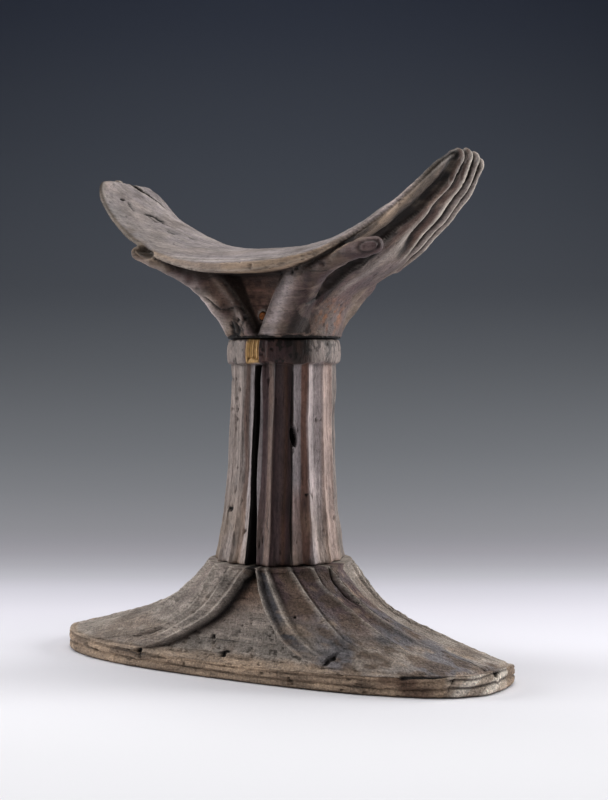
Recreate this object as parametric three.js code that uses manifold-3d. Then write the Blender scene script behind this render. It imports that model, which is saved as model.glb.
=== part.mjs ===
// Carved wooden headrest: a boat-shaped foot, a fluted column with a collar, and a curved
// neck support that two carved hands hold up. Millimetres, +Z up, -Y is the front, and the
// origin is on the ground under the middle of the foot.

import * as THREE from 'three';
import { mergeVertices } from 'three/addons/utils/BufferGeometryUtils.js';
import Module from 'manifold-3d';

const wasm = await Module();
wasm.setup();

// Driving dimensions
const JOINT_GAP = 0.3;
const FLUTES = 18;
const LEAN = 2.6;

const FOOT = {
  halfLength: 99.3,
  halfWidth: 38.8,
  squareness: 2.58,
  height: 42.5,
  seamRadius: 29.4,
  seamX: 0.8,
  sideRim: 6.5,
  tipRim: 8.3,
  fluteDepth: 1.3,
  fieldDepth: 3.4,
};

const SHAFT = {
  bottom: FOOT.height + JOINT_GAP,
  collarBottom: 122.5,
  top: 132.1,
  collarRadius: 23.1,
  fluteDepth: 1.1,
  ridgeAngle: 20,
};

const SLOT = { topWidth: 2.9, bottomWidth: 3.8, depth: 12, top: 121.5 };
const KNOT_HOLE = { width: 3, height: 7, depth: 7, z: 93.4, angle: 42.5 };
const COLLAR_CHIP = { width: 4.6, depth: 1.2, angle: -2 };

const REST = {
  x: LEAN,
  bottom: SHAFT.top + JOINT_GAP,
  end: 79.3,
  edgeHeight: 161.1,
  rise: 104,
  riseLength: 95,
  rightLift: 1.1,
  leftDrop: 1.8,
  backNarrowing: 5,
  halfWidth: 39,
  crown: 7.8,
  leftCrownStart: 45,
  leftCrownEnd: 80.3,
  leftTwist: 0.06,
  rimThickness: 3.8,
  wingRimThickness: 2.2,
  keelDepth: 3,
  neckRadius: 23.4,
};

const HAND = {
  fingerSpread: 9.2,
  tipSpread: 6.6,
  tipDepth: 3.2,
  fingerRadius: 4.7,
  palmHalfWidth: 13.5,
  wristHalfWidth: 9,
  wristThickness: 6,
  knuckleThickness: 3.2,
  thumbRoot: 14,
  thumbTip: 60,
  leftThumbTip: 52,
  leftThumbLift: 4.6,
  leftThumbSlimness: 0.8,
};

const PEG = { x: 1.2, z: 141, radius: 1.5, front: -19.7, back: -9 };

// Colours of the old wood
const WOOD = { foot: 0x4f463f, shaft: 0x6a5a51, rest: 0x8b7f77, peg: 0x9a6235 };

const radians = THREE.MathUtils.degToRad;
const mix = THREE.MathUtils.lerp;
const smooth = THREE.MathUtils.smoothstep;
const power = (value, exponent) => Math.sign(value) * Math.abs(value) ** exponent;

// A closed body through a row of rings, with a fan over the first ring and the last one
function skin(rings) {
  const count = rings[0].length;
  const points = rings.flat();
  const index = [];
  for (let row = 0; row + 1 < rings.length; row += 1) {
    for (let i = 0; i < count; i += 1) {
      const a = row * count + i;
      const b = row * count + ((i + 1) % count);
      index.push(a, b, b + count, a, b + count, a + count);
    }
  }
  const ends = [[rings[0], 0, true], [rings.at(-1), (rings.length - 1) * count, false]];
  for (const [ring, start, first] of ends) {
    const hub = points.length;
    points.push(ring.reduce((sum, point) => sum.add(point), new THREE.Vector3()).divideScalar(count));
    for (let i = 0; i < count; i += 1) {
      const a = start + i;
      const b = start + ((i + 1) % count);
      index.push(...(first ? [hub, b, a] : [hub, a, b]));
    }
  }
  const geometry = new THREE.BufferGeometry().setFromPoints(points);
  geometry.setIndex(index);
  return geometry;
}

// Vertices and triangles of a geometry, merged, without empty triangles, and facing out
function closedFaces(geometry) {
  geometry.deleteAttribute('normal');
  geometry.deleteAttribute('uv');
  const merged = mergeVertices(geometry, 1e-4);
  const positions = merged.getAttribute('position').array;
  const faces = [];
  const corner = [0, 1, 2].map(() => new THREE.Vector3());
  let volume = 0;
  for (let i = 0; i < merged.index.count; i += 3) {
    const [a, b, c] = [0, 1, 2].map((k) => merged.index.getX(i + k));
    if (a === b || b === c || c === a) continue;
    faces.push(a, b, c);
    [a, b, c].forEach((vertex, k) => corner[k].fromArray(positions, vertex * 3));
    volume += corner[0].dot(corner[1].cross(corner[2]));
  }
  if (volume < 0) faces.reverse();
  return { positions, faces };
}

function solid(geometry) {
  const { positions, faces } = closedFaces(geometry);
  const mesh = new wasm.Mesh({
    numProp: 3,
    vertProperties: new Float32Array(positions),
    triVerts: new Uint32Array(faces),
  });
  return new wasm.Manifold(mesh);
}

function named(name, body, colour) {
  const mesh = body.getMesh();
  const geometry = new THREE.BufferGeometry();
  geometry.setAttribute('position', new THREE.BufferAttribute(new Float32Array(mesh.vertProperties), 3));
  geometry.setIndex(new THREE.BufferAttribute(new Uint32Array(mesh.triVerts), 1));
  geometry.computeVertexNormals();
  const material = new THREE.MeshStandardMaterial({ color: colour, roughness: 0.8, metalness: 0 });
  const piece = new THREE.Mesh(geometry, material);
  piece.name = name;
  return piece;
}

const mirroredX = (point) => new THREE.Vector3(-point.x, point.y, point.z);
const leftHand = (point) => new THREE.Vector3(-point.x, point.y, point.z - leftDropAt(-point.x));
const mirroredY = (point) => new THREE.Vector3(point.x, -point.y, point.z);

// The foot. t runs from 0 at the seam to 1 at the rim, and phi runs round from the front.

function rimOutline(phi, outward) {
  const exponent = 2 / FOOT.squareness;
  const x = (FOOT.halfLength + outward) * power(Math.sin(phi), exponent);
  const y = -(FOOT.halfWidth + outward) * power(Math.cos(phi), exponent);
  return { x, y };
}

function rimHeight(phi) {
  return mix(FOOT.sideRim, FOOT.tipRim, Math.sin(phi) ** 2);
}

function footBody(t, phi) {
  const towardsTip = Math.sin(phi) ** 2;
  const rest = 1 - t;
  const side = 0.8 * rest + 0.2 * rest * rest;
  const wing = 0.43 * rest + 0.57 * rest ** 3.1;
  const rim = rimOutline(phi, 0);
  const x = mix(FOOT.seamX + FOOT.seamRadius * Math.sin(phi), rim.x, t);
  const y = mix(-FOOT.seamRadius * Math.cos(phi), rim.y, t);
  const low = rimHeight(phi);
  return new THREE.Vector3(x, y, low + (FOOT.height - low) * mix(side, wing, towardsTip));
}

function footNormal(t, phi) {
  const step = 0.004;
  const inner = Math.min(t, 1 - step);
  const along = footBody(inner + step, phi).sub(footBody(inner, phi));
  const round = footBody(inner, phi + step).sub(footBody(inner, phi - step));
  return along.cross(round).normalize();
}

// Half the angle that the sunken field takes, which spreads towards the rim
const fieldSpread = (t) => 5 + 19 * t ** 1.9;

// Lines that run from the seam to the rim, one quarter of the way round: their angle at a
// given t, and how far they lie below the skin of the foot
function footLines() {
  const ridge = [
    (t) => 19 + 6 * t ** 2,
    (t) => 38 - 1.5 * t,
    (t) => mix(57, 71, t ** 1.3),
    (t) => mix(76, 84, t),
  ];
  const flute = (t) => FOOT.fluteDepth * (1 - t) ** 0.8;
  const field = (t) => FOOT.fieldDepth * smooth(t, -0.1, 0.12) * (1 - 0.7 * smooth(t, 0.75, 1));
  const between = (a, b) => (t) => (a(t) + b(t)) / 2;
  const border = (t) => fieldSpread(t) + 2.4;
  return [
    { angle: (t) => fieldSpread(t) * 0.5, depth: field },
    { angle: (t) => fieldSpread(t) - 0.4, depth: field },
    { angle: (t) => fieldSpread(t) + 0.6, depth: () => 0.3 },
    { angle: border, depth: (t) => -0.5 * (1 - t) },
    { angle: between(border, ridge[0]), depth: (t) => flute(t) * 0.5 },
    { angle: ridge[0], depth: () => 0 },
    { angle: between(ridge[0], ridge[1]), depth: flute },
    { angle: ridge[1], depth: () => 0 },
    { angle: between(ridge[1], ridge[2]), depth: flute },
    { angle: ridge[2], depth: () => 0 },
    { angle: between(ridge[2], ridge[3]), depth: flute },
    { angle: ridge[3], depth: () => 0 },
  ];
}

function footColumns() {
  const quarter = footLines();
  const front = { angle: () => 0, depth: quarter[0].depth };
  const tip = { angle: () => 90, depth: (t) => FOOT.fluteDepth * (1 - t) ** 0.8 };
  const turned = (line, turn, sign) => ({ angle: (t) => turn + sign * line.angle(t), depth: line.depth });
  return [
    front,
    ...quarter,
    tip,
    ...quarter.map((line) => turned(line, 180, -1)).reverse(),
    turned(front, 180, 1),
    ...quarter.map((line) => turned(line, 180, 1)),
    turned(tip, 180, 1),
    ...quarter.map((line) => turned(line, 360, -1)).reverse(),
  ];
}

function makeFoot() {
  const columns = footColumns();
  const steps = [0, 0.05, 0.12, 0.2, 0.3, 0.4, 0.5, 0.6, 0.7, 0.8, 0.88, 0.95, 1];
  const rings = steps.map((t) => columns.map((line) => {
    const phi = radians(line.angle(t));
    const depth = t === 0 ? Math.max(line.depth(t), 0) * 0.8 : line.depth(t);
    return footBody(t, phi).addScaledVector(footNormal(t, phi), -depth);
  }));
  rings[0].forEach((point) => point.setZ(FOOT.height));
  const bands = [[0.9, 0.5], [0.72, 0.9], [0.55, 0.7], [0.5, 0], [0.45, 0.7], [0.22, 1], [0, 0.3]];
  for (const [level, outward] of bands) {
    rings.push(columns.map((line) => {
      const phi = radians(line.angle(1));
      const { x, y } = rimOutline(phi, outward - 0.9);
      return new THREE.Vector3(x, y, rimHeight(phi) * level * 0.97);
    }));
  }
  return solid(skin(rings));
}

// The column

function shaftRadius(z) {
  return 21.3 + 5.6 * ((SHAFT.collarBottom - z) / (SHAFT.collarBottom - FOOT.height)) ** 3.2;
}

const columnX = (z) => mix(FOOT.seamX, LEAN, (z - FOOT.height) / (SHAFT.top - FOOT.height));

function makeColumn() {
  const levels = [SHAFT.bottom, 47, 53, 60, 70, 84, 102, 120, SHAFT.collarBottom - 0.4];
  const fluted = levels.map((z) => new THREE.Vector2(shaftRadius(z), z));
  const collar = [[22.2, 0], [23, 1.4], [SHAFT.collarRadius, 5], [22.9, 8.2], [22.3, 9.6]];
  const collarPoints = collar.map(([r, rise]) => new THREE.Vector2(r, SHAFT.collarBottom + rise));
  const profile = [
    new THREE.Vector2(0, SHAFT.bottom), ...fluted, ...collarPoints, new THREE.Vector2(0, SHAFT.top),
  ];
  const shaft = new THREE.LatheGeometry(profile, FLUTES * 4);
  shaft.rotateX(Math.PI / 2);
  const place = shaft.getAttribute('position');
  const point = new THREE.Vector3();
  for (let i = 0; i < place.count; i += 1) {
    point.fromBufferAttribute(place, i);
    const radius = Math.hypot(point.x, point.y);
    const isFluted = radius > 1 && point.z < SHAFT.collarBottom - 0.1;
    if (isFluted) {
      const turn = Math.atan2(point.x, -point.y);
      const hollow = Math.abs(Math.sin((FLUTES * (turn - radians(SHAFT.ridgeAngle))) / 2));
      const cut = 1 - (SHAFT.fluteDepth * hollow ** 1.3) / radius;
      point.x *= cut;
      point.y *= cut;
    }
    place.setXYZ(i, point.x + columnX(point.z), point.y, point.z);
  }
  return solid(shaft).subtract(makeSlot()).subtract(makeKnotHole()).subtract(makeCollarChip());
}

// The split down the front of the shaft, which wanders a little and widens downwards
function makeSlot() {
  const levels = Array.from({ length: 9 }, (_, i) => mix(FOOT.height - 1, SLOT.top, i / 8));
  const rings = levels.map((z, i) => {
    const share = i / 8;
    const half = mix(SLOT.bottomWidth, SLOT.topWidth, share) / 2 * (i === 8 ? 0.3 : 1);
    const x = columnX(z) + 0.5 * Math.sin(share * 9) - 0.6 * share;
    const front = -shaftRadius(z) - 3;
    const back = -shaftRadius(z) + SLOT.depth;
    return [[-half, front], [half, front], [half * 0.5, back], [-half * 0.5, back]]
      .map(([dx, y]) => new THREE.Vector3(x + dx, y, z));
  });
  return solid(skin(rings));
}

function makeKnotHole() {
  const hole = new THREE.CylinderGeometry(KNOT_HOLE.width / 2, KNOT_HOLE.width / 3, KNOT_HOLE.depth * 2, 12);
  hole.scale(1, 1, KNOT_HOLE.height / KNOT_HOLE.width);
  hole.translate(0, shaftRadius(KNOT_HOLE.z), 0);
  hole.rotateZ(Math.PI);
  hole.rotateZ(radians(KNOT_HOLE.angle));
  hole.translate(columnX(KNOT_HOLE.z), 0, KNOT_HOLE.z);
  return solid(hole);
}

function makeCollarChip() {
  const height = SHAFT.top - SHAFT.collarBottom + 2;
  const chip = new THREE.BoxGeometry(COLLAR_CHIP.width, COLLAR_CHIP.depth * 2, height);
  chip.translate(0, -SHAFT.collarRadius, 0);
  chip.rotateZ(radians(COLLAR_CHIP.angle));
  chip.translate(columnX(SHAFT.top), 0, SHAFT.top + 1 - height / 2);
  return solid(chip);
}

// The neck support. Everything below is drawn about its own middle and moved at the end.

function edgeHeight(x) {
  const even = REST.edgeHeight + REST.rise * (1 - Math.sqrt(1 - (Math.abs(x) / REST.riseLength) ** 2.5));
  const bulge = Math.sin(Math.PI * THREE.MathUtils.clamp((x - 35) / (REST.end - 35), 0, 1));
  return even + REST.rightLift * bulge - leftDropAt(x);
}

// How much lower the left wing hangs than the right one
function leftDropAt(x) {
  return REST.leftDrop * smooth(-x, 50, REST.end);
}

// Half the width towards the front (side -1) or the back (side 1), where the right wing is narrower
function halfWidthAt(x, side = -1) {
  const far = Math.abs(x);
  const corner = x > 0 ? Math.max(0, (far - 62) / 19) : Math.max(0, (far - 66) / 16);
  const narrowing = side > 0 ? REST.backNarrowing * smooth(x, 15, 60) : 0;
  return (REST.halfWidth - 10 * (far / 60) ** 2 - narrowing) * Math.sqrt(1 - corner ** 4);
}

// How far the top swells above its edges, which on the left wing lasts further out
function crownAt(x) {
  if (x > 0) return REST.crown * (1 - smooth(x, 52, REST.end));
  const fall = Math.max(0, -x - REST.leftCrownStart) / (REST.leftCrownEnd - REST.leftCrownStart);
  return REST.crown * (1 - fall ** 2.5);
}

// The top's height above the edge, where side runs from -1 at the front to 1 at the back
function topAbove(x, side) {
  const twist = REST.leftTwist * smooth(-x, 65, REST.end) * Math.max(0, side) * halfWidthAt(x, side);
  return crownAt(x) * (1 - side * side) + twist;
}

function rimThicknessAt(x) {
  return mix(REST.rimThickness, REST.wingRimThickness, smooth(Math.abs(x), 5, 45));
}

// The upward normal of the front edge at x
function edgeNormal(x) {
  const step = 0.05;
  const slope = (edgeHeight(x + step) - edgeHeight(x - step)) / (2 * step);
  return new THREE.Vector3(-slope, 0, 1).normalize();
}

function makeSaddle() {
  const stations = 30;
  const across = 8;
  const rings = Array.from({ length: stations + 1 }, (_, i) => {
    const share = (i / stations) * 2 - 1;
    const x = REST.end * Math.sin(share * Math.PI / 2 * 0.62) / Math.sin(Math.PI / 2 * 0.62);
    const normal = edgeNormal(x);
    const edge = new THREE.Vector3(x, 0, edgeHeight(x));
    const top = Array.from({ length: across + 1 }, (__, k) => {
      const side = (k / across) * 2 - 1;
      const y = side * halfWidthAt(x, side);
      return edge.clone().addScaledVector(normal, topAbove(x, side)).setY(y);
    });
    const under = Array.from({ length: across + 1 }, (__, k) => {
      const side = 1 - (k / across) * 2;
      const depth = mix(REST.keelDepth, rimThicknessAt(x), Math.abs(side) ** 3);
      return edge.clone().addScaledVector(normal, -depth).setY(side * (halfWidthAt(x, side) - 0.7));
    });
    return [...top, ...under];
  });
  return solid(skin(rings));
}

// One ring of the given half sizes round a centre, in the plane of two directions
function oval(centre, across, up, halfAcross, halfUp, sides, squareness = 2) {
  return Array.from({ length: sides }, (_, i) => {
    const turn = (i / sides) * 2 * Math.PI;
    return centre.clone()
      .addScaledVector(across, halfAcross * power(Math.cos(turn), 2 / squareness))
      .addScaledVector(up, halfUp * power(Math.sin(turn), 2 / squareness));
  });
}

const SIDEWAYS = new THREE.Vector3(1, 0, 0);
const BACK = new THREE.Vector3(0, 1, 0);

function makeNeck() {
  const levels = [
    { z: REST.bottom, x: REST.neckRadius, y: REST.neckRadius, squareness: 2 },
    { z: 136, x: 23.8, y: 23.9, squareness: 2 },
    { z: 140, x: 24.5, y: 24.4, squareness: 2.1 },
    { z: 144, x: 25.8, y: 25.1, squareness: 2.2 },
    { z: 148, x: 29.6, y: 26.1, squareness: 2.3 },
    { z: 152, x: 34, y: 27.2, squareness: 2.4 },
    { z: 156, x: 40, y: 28.2, squareness: 2.5 },
    { z: 160, x: 46.5, y: 28.6, squareness: 2.6 },
  ];
  const rings = levels.map(({ z, x, y, squareness }) =>
    oval(new THREE.Vector3(0, 0, z), SIDEWAYS, BACK, x, y, 28, squareness));
  return solid(skin(rings));
}

// The line that the backs of the hands and fingers follow under each wing
const HAND_BACK = new THREE.CatmullRomCurve3([
  [24, 138], [28, 146], [34, 152.6], [41.5, 158], [48.7, 162.4], [59.8, 171.3], [70.2, 180.2], [78.3, 189],
  [82.6, 197.6],
].map(([x, z]) => new THREE.Vector3(x, 0, z)));

// The middle of something that lies against the back of the hand, inset by its half thickness
function insetFromBack(share, inset) {
  const tangent = HAND_BACK.getTangent(share);
  const inward = new THREE.Vector3(-tangent.z, 0, tangent.x);
  return { centre: HAND_BACK.getPoint(share).addScaledVector(inward, inset), inward };
}

function makePalm() {
  const last = 9;
  const rows = Array.from({ length: last + 1 }, (_, i) => {
    const reach = i / last;
    const thick = mix(HAND.wristThickness, HAND.knuckleThickness, reach);
    const sunk = 8 * (1 - smooth(reach, 0, 0.5)) + 3 * smooth(reach, 0.7, 1);
    const { centre, inward } = insetFromBack(mix(0.14, 0.62, reach), thick + 0.6 + sunk);
    const half = mix(HAND.wristHalfWidth, HAND.palmHalfWidth, smooth(reach, 0, 0.6));
    return oval(centre, BACK, inward, half, thick, 16, 2.4);
  });
  return skin(rows);
}

function makeFinger(number) {
  const place = number - 1.5;
  const rows = Array.from({ length: 11 }, (_, i) => {
    const share = mix(0.4, 1, i / 10);
    const towardsTip = smooth(share, 0.6, 1);
    const end = smooth(share, 0.955, 1.02);
    const shrink = 1 - 0.75 * end;
    const halfAcross = mix(HAND.fingerRadius, HAND.tipSpread * 0.54, towardsTip) * shrink;
    const halfDeep = mix(HAND.fingerRadius, HAND.tipDepth, towardsTip) * shrink;
    const sunk = 3 * (1 - smooth(share, 0.4, 0.5));
    const { centre, inward } = insetFromBack(share, halfDeep + 2 * end + sunk);
    const spread = mix(HAND.fingerSpread, HAND.tipSpread, smooth(share, 0.5, 1));
    centre.setY(place * spread);
    const bend = 1 + 0.1 * Math.sin(share * 26);
    return oval(centre, BACK, inward, halfAcross, halfDeep * bend, 8);
  });
  return skin(rows);
}

// A forearm, which rises from the foot of the neck beside the hollow and ends inside the saddle
function makeForearm() {
  const stations = [
    [8.5, -14.5, REST.bottom, 5.6, 4.6], [11, -16.9, 137.2, 6.4, 5.3], [16.3, -19.6, 146.7, 6.8, 5.7],
    [23, -22.8, 155.9, 7.2, 5.8], [27.2, -25, 162.5, 7, 5.6],
  ];
  return skin(stations.map(([x, y, z, halfAcross, halfDeep]) =>
    oval(new THREE.Vector3(x, y, z), SIDEWAYS, BACK, halfAcross, halfDeep, 10)));
}

// The thumb, from the forearm to its tip, which lies against the front edge of the support
function makeThumb(tip, slimness, lift) {
  const joints = [
    [8, -9, 143], [18, -19.5, 150], [28.5, -27, 156.3],
    [39, -30.5, 161], [50, -32.3, 164.4], [60, -33.2, 166.2],
  ];
  const line = new THREE.CatmullRomCurve3(joints.map((values) => new THREE.Vector3(...values)));
  const halfHeight = [4, 5.4, 4.6, 3.6, 3.4, 3.3];
  const steps = [0, 0.14, 0.26, 0.38, 0.5, 0.62, 0.74, 0.86, 0.95, 1];
  const rows = steps.map((step) => {
    const reach = step * (tip - HAND.thumbRoot) / (HAND.thumbTip - HAND.thumbRoot);
    const station = reach * 5;
    const low = Math.min(Math.floor(station), 4);
    const height = slimness * mix(halfHeight[low], halfHeight[low + 1], station - low);
    const shrink = step === 1 ? 0.5 : 1;
    const centre = line.getPoint(reach).add(new THREE.Vector3(0, 0, lift * reach));
    const tangent = line.getTangent(reach);
    const up = tangent.clone().cross(BACK).multiplyScalar(-1).normalize();
    const across = tangent.clone().cross(up).normalize();
    return oval(centre, across, up, Math.min(height, 4.2) * shrink, height * shrink, 10);
  });
  return skin(rows);
}

function mirroredGeometry(geometry, mirror) {
  const points = geometry.getAttribute('position');
  const point = new THREE.Vector3();
  for (let i = 0; i < points.count; i += 1) {
    const moved = mirror(point.fromBufferAttribute(points, i));
    points.setXYZ(i, moved.x, moved.y, moved.z);
  }
  return geometry;
}

// The hollow between the forearms, a V with sloping sides, open to the front or the back
function makeHollow() {
  const mouth = [[0.6, 131], [20, 157.2], [-19, 157.2]].map(([x, z]) => new THREE.Vector3(x, -34, z));
  const floor = [[0.6, 135.6], [9.7, 157.2], [-9.2, 157.2]].map(([x, z]) => new THREE.Vector3(x, -19, z));
  return skin([mouth, floor]);
}

// The wedge-shaped split in the top of the left wing, from its end inwards
function makeWingSplit() {
  const stations = [[-84, 1.5, 2], [-77, 5.2, 1.6], [-73.5, 8.8, 1], [-70, 12.6, 0.3]];
  const below = -1.8;
  const rows = stations.map(([x, y, half]) => {
    const z = edgeHeight(Math.max(x, -80));
    return [[-half, below], [half, below], [half, 14], [-half, 14]]
      .map(([dy, dz]) => new THREE.Vector3(x, y + dy, z + dz));
  });
  return skin(rows);
}

function makePegShape(extra) {
  const radius = PEG.radius + extra;
  const length = PEG.back - PEG.front + 2 * extra;
  const shape = new THREE.CylinderGeometry(radius, radius, length, 12);
  shape.translate(PEG.x, (PEG.front + PEG.back) / 2, PEG.z);
  return solid(shape);
}

function makeRest() {
  const arms = [
    makePalm(),
    mirroredGeometry(makePalm(), leftHand),
    makeThumb(HAND.thumbTip, 1, 0),
    mirroredGeometry(makeThumb(HAND.leftThumbTip, HAND.leftThumbSlimness, HAND.leftThumbLift), leftHand),
  ];
  for (let number = 0; number < 4; number += 1) {
    arms.push(makeFinger(number), mirroredGeometry(makeFinger(number), leftHand));
  }
  const forearms = [mirroredX, mirroredY].reduce(
    (made, mirror) => [...made, ...made.map((arm) => () => mirroredGeometry(arm(), mirror))],
    [makeForearm],
  );
  arms.push(...forearms.map((make) => make()));
  const hollows = [makeHollow(), mirroredGeometry(makeHollow(), mirroredY)];
  let body = makeNeck();
  for (const hollow of hollows) body = body.subtract(solid(hollow));
  for (const arm of arms) body = body.add(solid(arm));
  body = body.add(makeSaddle());
  return body.subtract(solid(makeWingSplit())).subtract(makePegShape(JOINT_GAP));
}

const headrest = new THREE.Group();
headrest.add(named('base', makeFoot(), WOOD.foot));
headrest.add(named('column', makeColumn(), WOOD.shaft));

const upper = new THREE.Group();
upper.position.x = REST.x;
upper.add(named('pillow', makeRest(), WOOD.rest));
upper.add(named('locking_peg', makePegShape(0), WOOD.peg));
headrest.add(upper);

export default headrest;
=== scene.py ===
"""A carved wooden headrest: weathered foot, fluted column, neck support held by two hands."""
import functools
import math

import bpy
import numpy as np
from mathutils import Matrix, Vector


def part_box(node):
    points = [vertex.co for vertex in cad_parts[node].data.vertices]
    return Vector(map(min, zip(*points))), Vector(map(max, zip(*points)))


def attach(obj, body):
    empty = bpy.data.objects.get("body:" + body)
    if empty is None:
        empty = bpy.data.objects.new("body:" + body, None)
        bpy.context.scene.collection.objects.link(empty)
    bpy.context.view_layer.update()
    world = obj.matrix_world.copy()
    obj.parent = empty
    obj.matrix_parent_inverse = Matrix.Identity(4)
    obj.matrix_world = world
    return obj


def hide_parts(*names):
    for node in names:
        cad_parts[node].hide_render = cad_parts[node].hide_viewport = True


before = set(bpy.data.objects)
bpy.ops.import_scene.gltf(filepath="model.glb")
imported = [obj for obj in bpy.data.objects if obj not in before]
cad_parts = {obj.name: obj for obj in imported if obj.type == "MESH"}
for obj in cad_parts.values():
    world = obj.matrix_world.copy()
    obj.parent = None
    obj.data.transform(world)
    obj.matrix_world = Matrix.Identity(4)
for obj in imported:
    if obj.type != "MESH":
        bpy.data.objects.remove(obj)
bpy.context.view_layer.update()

MM = 0.001
SEED = 41

# Where the pieces stand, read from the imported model, in millimetres
FOOT_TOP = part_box("base")[1][2] / MM
SHAFT_BOTTOM, SHAFT_TOP = (corner[2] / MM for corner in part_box("column"))
REST_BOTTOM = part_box("pillow")[0][2] / MM
PEG_LOW, PEG_HIGH = (np.array(corner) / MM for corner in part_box("locking_peg"))

# The shape of the foot, of the column and of the neck support, lengths in millimetres
FOOT_HALF_LENGTH = 99.3
FOOT_HALF_WIDTH = 38.8
FOOT_SQUARENESS = 2.58
SEAM_RADIUS = 29.4
SEAM_X = 0.8
SIDE_RIM = 6.5
TIP_RIM = 8.3
SIDE_LENGTH = 30
TIP_LENGTH = 73
# how much lower the right wing is behind its middle line
BACK_DROP = 3.0

SEAM_HEIGHT = 42.5
SHAFT_RADIUS = 21.3
SHAFT_SPREAD = 5.6
COLLAR_BOTTOM = 122.5
COLLAR_LIMIT = 23.2
LEAN = 2.6
FLUTES = 18
RIDGE_TURN = math.radians(20)

REST_X = LEAN
EDGE_HEIGHT = 161.1
RISE = 104.0
RISE_LENGTH = 95.0
RIGHT_LIFT = 1.1
LEFT_DROP = 1.8
REST_HALF_WIDTH = 39.0
BACK_NARROWING = 5.0
REST_END = 79.3
WING_LIMIT = 86
CROWN = 7.8
# the recess in the front: its middle, how far forward its back wall stands, and its half width
RECESS_X = 0.6
RECESS_WALL = 19
RECESS_HALF_WIDTH = 19

# the peg's middle in the rest's own place, and the radius and the two ends in y of the hole around it
PEG_X = (PEG_LOW[0] + PEG_HIGH[0]) / 2 - REST_X
PEG_Z = (PEG_LOW[2] + PEG_HIGH[2]) / 2
PEG_HOLE = (PEG_HIGH[0] - PEG_LOW[0]) / 2 + 0.3
PEG_HOLE_FRONT = -26
PEG_HOLE_BACK = -9


# Numbers, noise and lines

def mix(a, b, share):
    return a + (b - a) * share


def smooth(value, low, high):
    share = np.clip((value - low) / (high - low), 0, 1)
    return share * share * (3 - 2 * share)


def fade(value, low, high):
    """The opposite of smooth: 1 up to the low value, falling to 0 at the high one."""
    return 1 - smooth(value, low, high)


def bell(value, middle, width):
    return np.exp(-((value - middle) / width) ** 2)


def power(value, exponent):
    return np.sign(value) * np.abs(value) ** exponent


def smooth_min(a, b, radius):
    share = np.clip(0.5 + 0.5 * (b - a) / radius, 0, 1)
    return mix(b, a, share) - radius * share * (1 - share)


def smooth_max(a, b, radius):
    return -smooth_min(-a, -b, radius)


def joined(parts, radius):
    """Bodies grown together one after another."""
    return functools.reduce(lambda a, b: smooth_min(a, b, radius), parts)


NOISE_TABLE = np.random.default_rng(SEED).random(65536)
# the corners of a grid cell
CORNERS = [(i, j, k) for i in (0, 1) for j in (0, 1) for k in (0, 1)]


def lattice(ix, iy, iz, seed):
    key = (ix * 73856093) ^ (iy * 19349663) ^ (iz * 83492791) ^ (seed * 2654435)
    return NOISE_TABLE[(key ^ (key >> 13)) & 65535]


def noise(points, size, seed):
    """Smooth random values from -1 to 1 whose bumps are about size across, size being one number or three."""
    scaled = points / np.array(size, float)
    cell = np.floor(scaled).astype(np.int64)
    part = scaled - cell
    part = part * part * (3 - 2 * part)
    total = 0
    for corner in CORNERS:
        wx, wy, wz = (part[:, k] if corner[k] else 1 - part[:, k] for k in range(3))
        total = total + wx * wy * wz * lattice(*(cell + corner).T, seed)
    return total * 2 - 1


def layered(points, size, seed, layers=3):
    """Noise with finer noise over it, each layer half as large and half as strong as the last."""
    total = 0
    for layer in range(layers):
        total = total + noise(points, np.array(size, float) / 2 ** layer, seed + layer) / 2 ** layer
    return total


def line_distance(points, line):
    """Distance of each point from a chain of straight lines, and how far along the chain it is, 0 to 1."""
    line = np.array(line, float)
    best = np.full(len(points), 1e9)
    along = np.zeros(len(points))
    lengths = np.linalg.norm(np.diff(line, axis=0), axis=1)
    total = lengths.sum()
    walked = 0.0
    for start, end, length in zip(line[:-1], line[1:], lengths):
        step = end - start
        share = np.clip((points - start) @ step / length ** 2, 0, 1)
        away = np.linalg.norm(points - start - share[:, None] * step, axis=1)
        closer = away < best
        best = np.where(closer, away, best)
        along = np.where(closer, (walked + share * length) / total, along)
        walked += length
    return best, along


def crack(points, line, width, depth, seed, wander, taper):
    """How deep a crack along a line cuts at each point. taper is its width at the two ends, as a share."""
    lift = np.stack([noise(points, 4.0, seed + k) for k in range(3)], axis=1) * wander
    away, along = line_distance(points + lift, line)
    start, end = mix(taper[0], 1, smooth(along, 0, 0.2)), mix(taper[1], 1, smooth(1 - along, 0, 0.3))
    swell = np.minimum(start, end)
    half = np.maximum(width * swell / 2, 1e-3)
    return depth * np.clip(1.15 - away / half, 0, 1) ** 0.6 * smooth(swell, 0, 0.25)


def pits(points, size, amount, depth, seed):
    """Scattered pits where the noise is lowest."""
    value = layered(points, size, seed, 2)
    return depth * smooth(-value, 1 - amount, 1.35 - amount)


# Meshes

def store_paint(mesh, colours):
    """Keep a colour at each point of a mesh, for the materials to read."""
    store = mesh.attributes.new("paint", "FLOAT_COLOR", "POINT")
    rgba = np.concatenate([colours, np.ones((len(colours), 1))], axis=1)
    store.data.foreach_set("color", rgba.astype(np.float32).ravel())


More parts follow.
